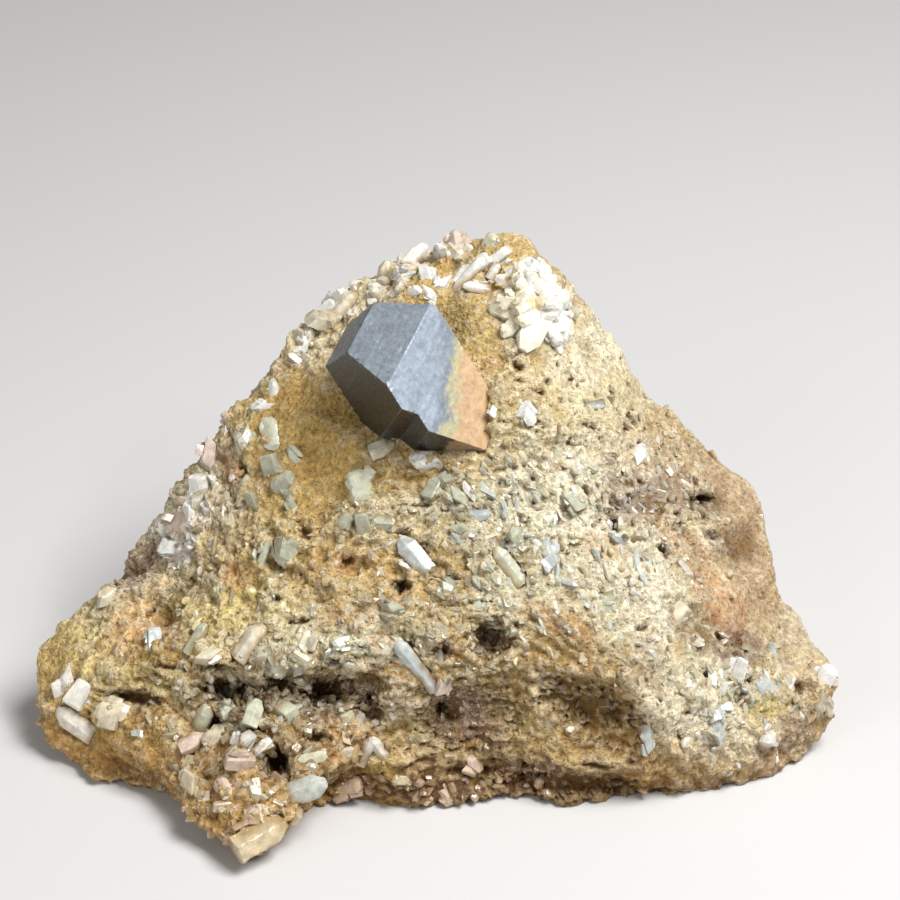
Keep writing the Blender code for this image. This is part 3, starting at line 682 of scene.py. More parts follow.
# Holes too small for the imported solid, and the deep parts of its larger hollows
PITS = each(
    Pit, (491, 638, 3.0, 2.6, 1.5), (443, 650, 1.2, 1.2, 0.9), (228, 690, 3.4, 1.4, 3.0, -4),
    (328, 690, 3.6, 1.6, 3.0), (284, 682, 2.0, 1.0, 2.2), (213, 721, 1.2, 1.0, 2.2),
    (370, 712, 1.6, 1.8, 1.4), (250, 727, 2.2, 0.6, 1.6), (318, 738, 1.8, 0.6, 1.4),
    (340, 665, 1.6, 0.6, 1.2), (296, 622, 2.0, 0.35, 0.9, 12), (212, 668, 2.8, 0.4, 1.2, -4),
    (170, 668, 2.6, 0.3, 0.9, -5), (420, 505, 2.6, 0.22, 0.7, 2), (450, 577, 2.6, 0.25, 0.8, -3),
    (476, 602, 2.2, 0.25, 0.7, 3), (405, 533, 1.8, 0.2, 0.6, -6), (505, 470, 2.0, 0.2, 0.6, 5),
    (277, 760, 1.6, 2.2, 2.4), (368, 697, 1.3, 1.0, 1.4), (135, 697, 3.4, 0.8, 1.6, -6),
    (401, 585, 1.3, 0.6, 1.4), (305, 533, 0.7, 1.0, 1.0, 30), (525, 586, 0.4, 0.4, 0.9),
    (698, 500, 2.2, 0.55, 2.4, 5), (712, 535, 1.5, 0.5, 1.6), (614, 526, 0.55, 0.9, 1.2, 25),
    (630, 535, 0.7, 0.4, 0.9), (578, 544, 0.3, 0.45, 0.8, -20), (604, 565, 0.5, 0.25, 0.6),
    (603, 593, 0.45, 0.8, 0.9, -20), (571, 443, 0.6, 0.4, 0.8), (589, 425, 0.45, 0.35, 0.6),
    (618, 435, 0.4, 0.3, 0.6), (639, 445, 0.3, 0.4, 0.6), (613, 459, 0.35, 0.35, 0.6),
    (594, 471, 0.5, 0.25, 0.6), (571, 457, 0.4, 0.3, 0.6), (629, 484, 0.7, 0.4, 0.7),
    (669, 460, 0.3, 0.35, 0.5), (657, 451, 0.3, 0.4, 0.5), (520, 380, 0.7, 0.4, 0.7),
    (541, 392, 0.5, 0.35, 0.6), (561, 400, 0.45, 0.4, 0.6), (800, 688, 0.8, 1.1, 1.2, 25),
    (693, 678, 0.4, 0.5, 0.7), (670, 638, 0.35, 0.6, 0.8), (638, 645, 0.45, 0.35, 0.7),
    (616, 715, 1.1, 0.5, 0.5, -25), (581, 693, 0.4, 0.3, 0.6), (526, 765, 0.7, 0.4, 1.2),
    (539, 776, 1.3, 0.5, 1.4), (630, 762, 0.8, 0.25, 0.8), (441, 710, 0.7, 1.0, 1.4),
    (400, 590, 0.6, 0.5, 0.8), (348, 562, 0.9, 0.5, 0.8, 30), (471, 770, 3.2, 0.6, 0.9),
    (597, 765, 2.6, 0.3, 0.7, -4), (205, 775, 1.0, 0.6, 0.8), (440, 606, 1.2, 0.2, 0.6),
    (150, 612, 1.2, 0.4, 0.8, 40), (660, 792, 1.6, 0.6, 0.7), (243, 470, 0.6, 1.2, 0.8, 30),
)

# How much of its small crystals and grains a worn stretch lacks
WORN_LOSS = 0.85

# Where the skin is sandy or worn smooth and the cracks between its lumps hardly show
WORN = each(
    Patch, (310, 430, 9, 10, 45, 0.9), (455, 310, 9, 5, 0, 0.9), (620, 380, 4, 15, -55, 0.85),
    (745, 560, 5, 14, -20, 0.85), (735, 485, 6, 6, 0, 0.9), (110, 750, 9, 3, 0, 0.7),
    (50, 660, 4, 6, 0, 0.7), (600, 730, 8, 6, 0, 0.4), (520, 252, 6, 3, -30, 0.9),
    (560, 380, 7, 4, 0, 0.5), (800, 660, 4, 4, 0, 0.5), (370, 430, 6, 4, 0, 0.8),
)

# Where the skin is riddled with small pits
RIDDLED = each(
    Patch, (600, 440, 9, 7, 0, 1.0), (560, 400, 7, 4, 0, 0.5), (650, 500, 6, 3, 0, 0.5),
    (640, 530, 8, 8, 0, 0.7), (700, 650, 9, 10, 0, 0.6), (500, 520, 9, 8, 0, 0.6),
    (520, 390, 4, 4, 0, 0.2), (300, 600, 12, 8, 0, 0.3),
)


def strength(patches: tuple[Patch, ...], ground: Ground, places: Array) -> Array:
    """How strongly any of several patches covers each place.

    Args:
        patches: the patches.
        ground: the surface that they lie on.
        places: one place in each row.

    Returns:
        The strengths, from 0 to 1.
    """
    strongest = np.zeros(len(places))
    for patch in patches:
        radius = patch.radius(ground, places)
        strongest = np.maximum(strongest, patch.share * (1.0 - smoothstep(0.6, 1.1, radius)))
    return strongest


# Painted shade near the floor: its upper edge, the red, green and blue that it takes away, how much of it
# is missing at the stone's right end, and where that end begins and is fully free of it
FLOOR_SHADE_TOP = 13.0 * MM
FLOOR_SHADE_LOSS = np.array((0.13, 0.29, 0.52))
FLOOR_SHADE_CUT = 0.7
FLOOR_SHADE_CUT_END = (18.0 * MM, 32.0 * MM)


def floor_shade(places: Array, share: float = 1.0) -> Array:
    """How much of its colour each place keeps near the floor, where painted shade darkens and browns it.

    The painted shade is weaker at the stone's right end.

    Args:
        places: one place in each row.
        share: how strong the painted shade is.

    Returns:
        A factor for red, green and blue in each row.
    """
    low = 1.0 - smoothstep(0.0, FLOOR_SHADE_TOP, places[:, 2])
    low *= 1.0 - FLOOR_SHADE_CUT * smoothstep(*FLOOR_SHADE_CUT_END, places[:, 0])
    return 1.0 - share * low[:, None] * FLOOR_SHADE_LOSS


def stain(colours: Array, ground: Ground, places: Array, stains: Stains) -> None:
    """Lays stains over colours, ragged at their edges and blotchy inside.

    Args:
        colours: the colours, one in each row, which are changed.
        ground: the surface that the stains lie on.
        places: the place of each colour.
        stains: each tone with its patches, later ones over earlier ones.
    """
    blotches = 0.55 + 0.45 * smoothstep(-0.45, 0.35, soft_noise(places, 1.6 * MM, 31.0))
    ragged = 1.0 + 0.30 * soft_noise(places, 2.4 * MM, 41.0)
    for tone, patches in stains:
        for patch in patches:
            radius = patch.radius(ground, places) / ragged
            weight = patch.share * (1.0 - smoothstep(0.55, 1.15, radius)) * blotches
            colours += (tone.linear() - colours) * weight[:, None]


@dataclass(frozen=True)
class Crags:
    """Sharp ridges in the stone's relief.

    Attributes:
        height: their height, in millimetres.
        level: the noise at which they are level with the skin.
        size: how far apart they are.
        shift: what sets their noise apart.
    """

    height: float
    level: float
    size: float
    shift: float

    def relief(self, places: Array) -> Array:
        """How far they move the skin out at each place, in millimetres."""
        return self.height * (self.level - np.abs(soft_noise(places, self.size, self.shift)))


@dataclass(frozen=True)
class Cobbles:
    """Lumps in the stone's relief, with cracks between them.

    Attributes:
        height: how steeply they rise from the cracks, in millimetres.
        top: how deep inside a lump its flat top begins.
        level: how deep inside a lump it is level with the skin.
        size: how wide they are.
    """

    height: float
    top: float
    level: float
    size: float

    def relief(self, places: Array) -> Array:
        """How far they move the skin out at each place, in millimetres."""
        return self.height * (np.minimum(cell_noise(places, self.size), self.top) - self.level)


def warped(places: Array, reach: float, size: float, shift: float) -> Array:
    """Places moved by smooth noise, so that what is laid over them winds about.

    Args:
        places: one place in each row.
        reach: how far they are moved.
        size: how wide the noise's lumps are.
        shift: what sets the noise apart.

    Returns:
        The moved places.
    """
    return places + reach * soft_noise(places, size, shift)[:, None]


@dataclass(frozen=True)
class MatrixRock:
    """The block of matrix: lumps, bedding, pits and hollows, stained by weathering.

    Attributes:
        node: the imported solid.
        coarse_step: the size of the skin's faces before those in front are split.
        kept_faces: the share of the faces that is kept under the relief.
        right_side: where the smoother rock of the right side begins, and where it has taken over.
        dip: how steeply the beds dip there.
        dip_side: where the beds begin to dip, and where they dip fully.
        bed_length: how long the beds are.
        bed_thickness: how thick they are.
        streak_slope: how steeply the long ridges run down to the right.
        streak_size: how long, deep and thick those ridges are, in millimetres.
        crags: the sharp ridges.
        chunks: the largest lumps.
        grains: the grains that have grown together.
        small_grains: the finest of them.
        socket_reach: how near to a crystal the skin is drawn against it.
        socket_gap: the gap that stays between them.
        small_pits: how many small pits are scattered.
        small_pit: their usual half height, in millimetres.
        small_pit_spread: how much that varies.
        small_pit_depth: their depth, as a share of the half height.
    """

    node: str = "matrix_rock"
    coarse_step: float = 0.56 * MM
    kept_faces: float = 0.74
    right_side: tuple[float, float] = (4.0 * MM, 20.0 * MM)
    dip: float = math.radians(38.0)
    dip_side: tuple[float, float] = (6.0 * MM, 22.0 * MM)
    bed_length: float = 6.0 * MM
    bed_thickness: float = 0.75 * MM
    streak_slope: float = math.radians(50.0)
    streak_size: tuple[float, float, float] = (5.0, 2.5, 1.2)
    crags: tuple[Crags, ...] = (Crags(0.9, 0.3, 5.5 * MM, 13.0), Crags(0.7, 0.25, 2.6 * MM, 19.0))
    chunks: Cobbles = Cobbles(0.55, 0.4, 0.2, 3.4 * MM)
    grains: Cobbles = Cobbles(0.62, 0.45, 0.22, 1.45 * MM)
    small_grains: Cobbles = Cobbles(0.30, 0.5, 0.25, 0.75 * MM)
    socket_reach: float = 0.9 * MM
    socket_gap: float = 0.02 * MM
    small_pits: int = 260
    small_pit: float = 0.19
    small_pit_spread: float = 0.45
    small_pit_depth: float = 2.6

    def build(self) -> bpy.types.Object:
        """Makes the block's skin.

        Returns:
            The skin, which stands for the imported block.
        """
        skin = copy_of_node(self.node, "matrix_skin")
        apply_modifier(skin, "REMESH", mode="VOXEL", voxel_size=self.coarse_step)
        self._refine_front(skin)
        ground = Ground(skin)
        self._add_relief(skin, ground)
        apply_modifier(skin, "DECIMATE", ratio=self.kept_faces)
        pitted = self._sink_pits(skin, ground)
        self._close_sockets(skin)
        self._paint(skin, ground, pitted)
        shade(skin, 180.0)
        skin.data.materials.append(RockFinish().material())
        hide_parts(self.node)
        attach(skin, BODY)
        return skin

    def _refine_front(self, skin: bpy.types.Object) -> None:
        """Splits the faces that the photograph shows, for finer relief, and softens the skin.

        Args:
            skin: the block's skin.
        """
        shown = face_normals(skin) @ np.array(SIGHT.toward) > 0.0
        choose_faces(skin, shown)
        with editing(skin):
            bpy.ops.mesh.subdivide(number_cuts=1)
            bpy.ops.mesh.select_all(action="SELECT")
            bpy.ops.mesh.vertices_smooth(factor=0.5, repeat=3)

    def _bedding(self, places: Array) -> Array:
        """Noise drawn out along the rock's beds, which dip to the right on the right side.

        Args:
            places: one place in each row.

        Returns:
            The noise, from about -1 to 1.
        """
        dip = self.dip * smoothstep(*self.dip_side, places[:, 0])
        along = places[:, 0] * np.cos(dip) - places[:, 2] * np.sin(dip)
        over = places[:, 0] * np.sin(dip) + places[:, 2] * np.cos(dip)
        stretched = np.stack((
            along / self.bed_length, places[:, 1] / self.bed_length, over / self.bed_thickness
        ), axis=1)
        return soft_noise(stretched, 1.0)

    def _streaks(self, places: Array) -> Array:
        """Noise drawn out in long ridges that run down to the right.

        Args:
            places: one place in each row.

        Returns:
            The noise, from about -1 to 1.
        """
        slope = self.streak_slope
        long, deep, thick = self.streak_size
        along = places[:, 0] * math.cos(slope) - places[:, 2] * math.sin(slope)
        over = places[:, 0] * math.sin(slope) + places[:, 2] * math.cos(slope)
        over = over + 0.8 * MM * soft_noise(places, 3.0 * MM, 27.0)
        stretched = np.stack((along / long, places[:, 1] / deep, over / thick), axis=1) / MM
        return soft_noise(stretched, 1.0, 33.0)

    def _add_relief(self, skin: bpy.types.Object, ground: Ground) -> None:
        """Moves the skin in and out: lumps, beds and the cracks between grown-together grains.

        Args:
            skin: the block's skin.
            ground: its surface before that.
        """
        places = vertex_places(skin)
        normals = vertex_normals(skin)
        worn = strength(WORN, ground, places)
        right = smoothstep(*self.right_side, places[:, 0])
        lumps = sum(crag.relief(places) for crag in self.crags)
        lumps = lumps + self.chunks.relief(warped(places, 0.9 * MM, 2.2 * MM, 5.0))
        lumps = lumps + 0.36 * soft_noise(places, 1.5 * MM, 7.0)
        winding = warped(places, 0.6 * MM, 1.1 * MM, 3.0)
        grains = self.grains.relief(winding) + self.small_grains.relief(winding)
        grit = 0.22 * soft_noise(places, 0.5 * MM, 11.0)
        beds, cracks = self._beds_and_cracks(places, 1.0 - np.abs(normals[:, 2]), right)
        streaks = 0.5 * right * self._streaks(places)
        height = (lumps * (1.0 - 0.2 * right) + streaks) * (1.0 - 0.7 * worn)
        height += (grains * (1.0 - 0.4 * right) + beds) * (1.0 - 0.85 * worn)
        height += grit * (1.0 - 0.6 * worn) - cracks * (1.0 - worn)
        move_vertices(skin, places + normals * (height * MM)[:, None])

    def _beds_and_cracks(self, places: Array, upright: Array, right: Array) -> tuple[Array, Array]:
        """The steps between the rock's beds, and the cracks that open there.

        Args:
            places: one place in each row.
            upright: how upright the skin is at each place, from 0 to 1.
            right: how far each place belongs to the right side, from 0 to 1.

        Returns:
            How far the beds stand out, and how deep the cracks are, in millimetres.
        """
        bedding = self._bedding(places)
        beds = (0.24 + 0.36 * upright) * bedding * (1.0 - 0.75 * right)
        cracks = 0.7 * smoothstep(0.1, 0.0, np.abs(bedding + 0.12)) * upright
        cracks *= smoothstep(-0.05, 0.3, soft_noise(places, 4.0 * MM, 17.0)) * (1.0 - right)
        return beds, cracks

    def _scattered_pits(self) -> list[Pit]:
        """Scatters small pits over the riddled stretches.

        Returns:
            The pits.
        """
        dice = np.random.default_rng(5)
        pits = []
        share = self.small_pits / sum(patch.share for patch in RIDDLED)
        for patch in RIDDLED:
            for _ in range(int(share * patch.share)):
                turn = dice.uniform(0.0, math.tau)
                out = math.sqrt(dice.uniform(0.0, 1.0)) / SIGHT.pixel * MM
                across = patch.across + math.cos(turn) * out * patch.wide
                down = patch.down + math.sin(turn) * out * patch.tall
                tall = dice.lognormal(math.log(self.small_pit), self.small_pit_spread)
                wide = tall * dice.uniform(1.0, 2.6)
                depth = tall * self.small_pit_depth
                pits.append(Pit(across, down, wide, tall, depth, dice.uniform(-70, 20)))
        return pits

    def _sink_pits(self, skin: bpy.types.Object, ground: Ground) -> Array:
        """Sinks the hollows and pits.

        Args:
            skin: the block's skin.
            ground: its surface before the relief.

        Returns:
            How deep in a pit each vertex is, from 0 to 1.
        """
        places = vertex_places(skin)
        pixels = SIGHT.pixels(places)
        ragged = 1.0 + 0.3 * soft_noise(places, 0.8 * MM, 21.0)
        ragged = ragged + 0.4 * soft_noise(places, 0.35 * MM, 23.0)
        pitted = np.zeros(len(places))
        moves = np.zeros_like(places)
        for pit in (*HOLLOWS, *PITS, *self._scattered_pits()):
            reach = 1.6 * max(pit.wide, pit.tall) * MM / SIGHT.pixel
            middle = np.array((pit.across, pit.down))
            near = np.flatnonzero(np.abs(pixels - middle).max(axis=1) < reach)
            _, normal = ground.meet(pit.across, pit.down)
            inward = (SIGHT.line(pit.across, pit.down) - normal).normalized()
            radius = pit.patch.radius(ground, places[near]) / ragged[near]
            sunk = 1.0 - smoothstep(0.45, 1.05, radius)
            moves[near] += np.outer(sunk * pit.depth * MM, np.array(inward))
            if pit not in HOLLOWS:
                pitted[near] = np.maximum(pitted[near], sunk)
        move_vertices(skin, places + moves)
        return pitted

    def _close_sockets(self, skin: bpy.types.Object) -> None:
        """Closes the gaps round the crystals set in the skin, and keeps it above the floor.

        Args:
            skin: the block's skin.
        """
        places = vertex_places(skin)
        for name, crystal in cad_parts.items():
            if name == self.node:
                continue
            tree = tree_of(crystal)
            low, high = (np.array(corner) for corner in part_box(name))
            inside = (places > low - self.socket_reach) & (places < high + self.socket_reach)
            for index in np.flatnonzero(inside.all(axis=1)):
                nearest, _, _, distance = tree.find_nearest(Vector(places[index]), self.socket_reach)
                if nearest is None:
                    continue
                pull = 1.0 - smoothstep(0.4, 1.0, np.array(distance / self.socket_reach))
                share = pull * max(0.0, distance - self.socket_gap) / max(distance, self.socket_gap)
                places[index] += (np.array(nearest) - places[index]) * share
        places[:, 2] = np.maximum(places[:, 2], 0.0)
        move_vertices(skin, places)

    def _proudness(self, skin: bpy.types.Object, rounds: int) -> Array:
        """How far each vertex stands out from the skin round it.

        Args:
            skin: the block's skin.
            rounds: how many times the skin round it is smoothed, and so how wide it is.

        Returns:
            The distances, in millimetres.
        """
        first, second = read_values(skin.data.edges, "vertices", 2, int).T
        places = vertex_places(skin)
        count = len(places)
        neighbours = np.bincount(first, minlength=count) + np.bincount(second, minlength=count)
        smooth = places.copy()
        for _ in range(rounds):
            total = np.stack([
                np.bincount(first, smooth[second, axis], count)
                + np.bincount(second, smooth[first, axis], count)
                for axis in range(3)
            ], axis=1)
            smooth = total / neighbours[:, None]
        return ((places - smooth) * vertex_normals(skin)).sum(axis=1) / MM

    def _paint(self, skin: bpy.types.Object, ground: Ground, pitted: Array) -> None:
        """Paints the stains, with painted shade in the recesses and pits and a painted highlight on the
        raised edges.

        Args:
            skin: the block's skin.
            ground: its surface before the relief.
            pitted: how deep in a pit each vertex is.
        """
        places = vertex_places(skin)
        broad = smoothstep(-0.35, 0.35, soft_noise(places, 9.0 * MM, 2.0))[:, None]
        colours = Tone.TAN.linear() * (1.0 - broad) + Tone.CREAM.linear() * broad
        colours = 0.5 * colours + 0.5 * Tone.TAN.linear()
        for number, (tone, size, share) in enumerate(MOTTLING):
            spread = smoothstep(0.12, 0.55, soft_noise(places, size * MM, 90.0 + 7.0 * number))
            colours += (tone.linear() - colours) * (share * spread)[:, None]
        stain(colours, ground, places, STAINS)
        fine = self._proudness(skin, 4)
        wide = self._proudness(skin, 16)
        # Painted shade: darker ochre in the recesses, weaker on the right side
        sunk = smoothstep(0.0, 0.16, -fine) * 0.55 + smoothstep(0.05, 0.5, -wide) * 0.5
        sunk = np.clip(sunk, 0.0, 1.0) * (1.0 - 0.35 * smoothstep(*self.right_side, places[:, 0]))
        # Painted highlight: pale on the raised edges
        ridge_highlight = smoothstep(0.02, 0.16, fine) * 0.35
        # Painted shade: brown in the pits
        deep = smoothstep(0.2, 0.9, pitted)
        colours += (Tone.OCHRE.linear() * 0.6 - colours) * sunk[:, None] * 0.8
        colours += (Tone.PALE.linear() - colours) * ridge_highlight[:, None]
        colours += (Tone.BROWN.linear() - colours) * deep[:, None] * 0.75
        speckle = 1.0 + 0.3 * soft_noise(places, 0.6 * MM, 51.0)
        # Darker and browner near the floor: painted shade
        paint(skin, colours * floor_shade(places) * speckle[:, None])


@dataclass(frozen=True)
class Nodes:
    """A material's nodes, and the ways in which the finishes add to them."""

    tree: bpy.types.NodeTree
    shader: bpy.types.Node

    def noise(self, size: float, detail: float) -> bpy.types.NodeSocket:
        """Adds noise in the object's own space.

        Args:
            size: how wide the noise's lumps are.
            detail: how much finer noise is added.

        Returns:
            The noise, from 0 to 1.
        """
        place = self.tree.nodes.new("ShaderNodeTexCoord")
        made = self.tree.nodes.new("ShaderNodeTexNoise")
        made.inputs["Scale"].default_value = 1.0 / size
        made.inputs["Detail"].default_value = detail
        self.tree.links.new(place.outputs["Object"], made.inputs["Vector"])
        return made.outputs["Fac"]

    def levels(
        self, size: float, detail: float, source: tuple[float, float], target: tuple[float, float]
    ) -> bpy.types.NodeSocket:
        """Adds noise that is moved from one range to another.

        Args:
            size: how wide the noise's lumps are.
            detail: how much finer noise is added.
            source: the range that is read.
            target: the range that it becomes, which holds the value.

        Returns:
            The moved noise.
        """
        node = self.tree.nodes.new("ShaderNodeMapRange")
        node.inputs["From Min"].default_value, node.inputs["From Max"].default_value = source
        node.inputs["To Min"].default_value, node.inputs["To Max"].default_value = target
        self.tree.links.new(self.noise(size, detail), node.inputs["Value"])
        return node.outputs["Result"]

    def tint(self, *factors: bpy.types.NodeSocket) -> None:
        """Gives the surface the colour that the piece carries, made lighter and darker.

        Args:
            factors: what the colour is multiplied by.
        """
        source = self.tree.nodes.new("ShaderNodeAttribute")
        source.attribute_name = "tint"
        colour = source.outputs["Color"]
        for factor in factors:
            node = self.tree.nodes.new("ShaderNodeVectorMath")
            node.operation = "SCALE"
            self.tree.links.new(colour, node.inputs[0])
            self.tree.links.new(factor, node.inputs["Scale"])
            colour = node.outputs["Vector"]
        self.tree.links.new(colour, self.shader.inputs["Base Color"])

    def gloss(self, roughness: bpy.types.NodeSocket) -> None:
        """Makes the surface unevenly matt."""
        self.tree.links.new(roughness, self.shader.inputs["Roughness"])

    def bump(self, size: float, detail: float, depth: float) -> None:
        """Adds fine relief to the surface.

        Args:
            size: how wide its lumps are.
            detail: how much finer relief is added.
            depth: how deep it is.
        """
        node = self.tree.nodes.new("ShaderNodeBump")
        node.inputs["Distance"].default_value = depth
        self.tree.links.new(self.noise(size, detail), node.inputs["Height"])
        self.tree.links.new(node.outputs["Normal"], self.shader.inputs["Normal"])


@dataclass(frozen=True)
class Finish:
    """What every finish shares: a Principled surface that is tinted by the piece's own colours."""

    name: str
    roughness: float
    ior: float = 1.5
    subsurface: float = 0.0
    subsurface_scale: float = 0.6 * MM
    metallic: float = 0.0
    transmission: float = 0.0

    def material(self) -> bpy.types.Material:
        """Makes the finish.

        Returns:
            The finish as a material.
        """
        made = bpy.data.materials.new(self.name)
        made.use_nodes = True
        shader = made.node_tree.nodes["Principled BSDF"]
        for socket, value in (
            ("Roughness", self.roughness), ("IOR", self.ior), ("Metallic", self.metallic),
            ("Transmission Weight", self.transmission), ("Subsurface Weight", self.subsurface),
            ("Subsurface Scale", self.subsurface_scale), ("Subsurface Radius", (1.0, 0.85, 0.65)),
        ):
            shader.inputs[socket].default_value = value
        self._dress(Nodes(made.node_tree, shader))
        return made

    def _dress(self, nodes: Nodes) -> None:
        """Adds the surface's detail, which each finish has of its own."""
        raise NotImplementedError


@dataclass(frozen=True)
class RockFinish(Finish):
    """Dry, grainy stone with darker and lighter mineral specks."""

    name: str = "matrix_rock_surface"
    roughness: float = 0.86

    def _dress(self, nodes: Nodes) -> None:
        """Adds grains, dark specks and fine relief.

        Args:
            nodes: the material's nodes.
        """
        grain = nodes.levels(0.5 * MM, 4.0, (0.3, 0.7), (0.68, 1.34))
        speck = nodes.levels(0.2 * MM, 1.0, (0.3, 0.42), (0.4, 1.0))
        nodes.tint(grain, speck)
        nodes.bump(0.5 * MM, 5.0, 0.5 * MM)


@dataclass(frozen=True)
class CrystalFinish(Finish):
    """Cloudy, glassy crystal."""

    name: str = "small_crystal_surface"
    roughness: float = 0.2
    ior: float = 1.54
    subsurface: float = 0.25
    subsurface_scale: float = 0.25 * MM
    transmission: float = 0.14

    def _dress(self, nodes: Nodes) -> None:
        """Adds clouds, uneven gloss and fine relief.

        Args:
            nodes: the material's nodes.
        """
        nodes.tint(nodes.levels(0.8 * MM, 4.0, (0.3, 0.7), (0.76, 1.16)))
        nodes.gloss(nodes.levels(0.6 * MM, 2.0, (0.35, 0.65), (0.06, 0.3)))
        nodes.bump(0.4 * MM, 3.0, 0.045 * MM)


@dataclass(frozen=True)
class AnataseFinish(Finish):
    """Steel-grey crystal, partly metallic."""

    name: str = "anatase_surface"
    roughness: float = 0.3
    ior: float = 2.0
    metallic: float = 0.25

    def _dress(self, nodes: Nodes) -> None:
        """Adds mottling, uneven gloss and very fine relief.

        Args:
            nodes: the material's nodes.
        """
        nodes.tint(nodes.levels(0.5 * MM, 4.0, (0.3, 0.7), (0.86, 1.12)))
        nodes.gloss(nodes.levels(0.4 * MM, 3.0, (0.35, 0.65), (0.24, 0.42)))
        nodes.bump(0.25 * MM, 4.0, 0.03 * MM)


@dataclass(frozen=True)
class Shape:
    """One modelled crystal or grain as arrays, about one unit across, ready to be copied.

    Attributes:
        corners: the places of its vertices.
        loops: the vertex at each corner of its faces.
        sizes: how many corners each face has.
    """

    corners: Array
    loops: Array
    sizes: Array

    @classmethod
    def taken_from(cls, obj: bpy.types.Object) -> "Shape":
        """Reads a modelled object and removes it.

        Args:
            obj: the object.

        Returns:
            Its shape.
        """
        shape = cls(vertex_places(obj), corner_vertices(obj), face_sizes(obj))
        bpy.data.objects.remove(obj, do_unlink=True)
        return shape


class Form(Enum):
    """The forms that small crystals and grains take."""

    PRISM = "prism"
    LATH = "lath"
    BLOCK = "block"
    SHARD = "shard"
    GRAIN = "grain"


Shapes = dict[Form, Shape]


@dataclass(frozen=True)
class Moulds:
    """Models each form once, about one unit across."""

    sides: int = 6
    point: float = 0.15
    shard_width: float = 1.04
    edge: float = 0.025
    block_edge: float = 0.08

    def _pointed(self) -> bpy.types.Object:
        """Models a crystal that is longest along Z, with blunt points.

        Returns:
            The modelled object.
        """
        obj = add_form(
            bpy.ops.mesh.primitive_cylinder_add,
            vertices=self.sides, radius=0.5, depth=1.0 - 2.0 * self.point,
        )
        for end in (1.0, -1.0):
            choose_faces(obj, face_normals(obj)[:, 2] * end > 0.9)
            with editing(obj):
                bpy.ops.mesh.extrude_region_move(
                    TRANSFORM_OT_translate={"value": (0.0, 0.0, self.point * end)}
                )
                tip = (0.12 * end, 0.15, 0.5 * end)
                bpy.ops.transform.resize(value=(0.5, 0.35, 1.0), center_override=tip)
        return obj

    def lath(self) -> Shape:
        """A small pointed crystal."""
        return Shape.taken_from(self._pointed())

    def prism(self) -> Shape:
        """Models a larger pointed crystal, with worn edges.

        Returns:
            The prism's shape.
        """
        obj = self._pointed()
        with editing(obj):
            bevel_edges(self.edge)
        return Shape.taken_from(obj)

    def block(self) -> Shape:
        """Models a slanted block with worn edges.

        Returns:
            The block's shape.
        """
        obj = add_form(bpy.ops.mesh.primitive_cube_add, size=1.0)
        choose_faces(obj, face_normals(obj)[:, 2] > 0.9)
        with editing(obj):
            bpy.ops.transform.translate(value=(0.18, 0.05, 0.0))
            bpy.ops.transform.resize(value=(0.8, 0.86, 1.0), center_override=(0.18, 0.05, 0.5))
            bevel_edges(self.block_edge)
        return Shape.taken_from(obj)

    def shard(self) -> Shape:
        """Models a crystal with slanted ends and one face cut back.

        Returns:
            The shard's shape.
        """
        obj = add_form(
            bpy.ops.mesh.primitive_cylinder_add,
            vertices=self.sides, radius=self.shard_width / 2.0, depth=1.0,
        )
        with editing(obj):
            for middle, facing in (
                ((0.0, 0.0, 0.34), (0.5, 0.3, 1.0)), ((0.0, 0.0, -0.38), (-0.3, 0.25, -1.0)),
                ((0.0, 0.36, 0.2), (-0.25, 1.0, 0.35)),
            ):
                bpy.ops.mesh.select_all(action="SELECT")
                bpy.ops.mesh.bisect(
                    plane_co=middle, plane_no=facing, use_fill=True, clear_outer=True
                )
            bevel_edges(self.edge)
        return Shape.taken_from(obj)

    def grain(self) -> Shape:
        """Models a rounded grain with a flattened top.

        Returns:
            The grain's shape.
        """
        obj = add_form(bpy.ops.mesh.primitive_ico_sphere_add, subdivisions=1, radius=0.5)
        choose_faces(obj, face_normals(obj)[:, 2] > 0.5)
        with editing(obj):
            bpy.ops.transform.resize(value=(1.15, 1.15, 0.8), center_override=(0.0, 0.0, 0.2))
        return Shape.taken_from(obj)

    def all(self) -> Shapes:
        """Models every form.

        Returns:
            Each form's shape.
        """
        return {
            Form.PRISM: self.prism(), Form.LATH: self.lath(),
            Form.BLOCK: self.block(), Form.GRAIN: self.grain(), Form.SHARD: self.shard(),
        }


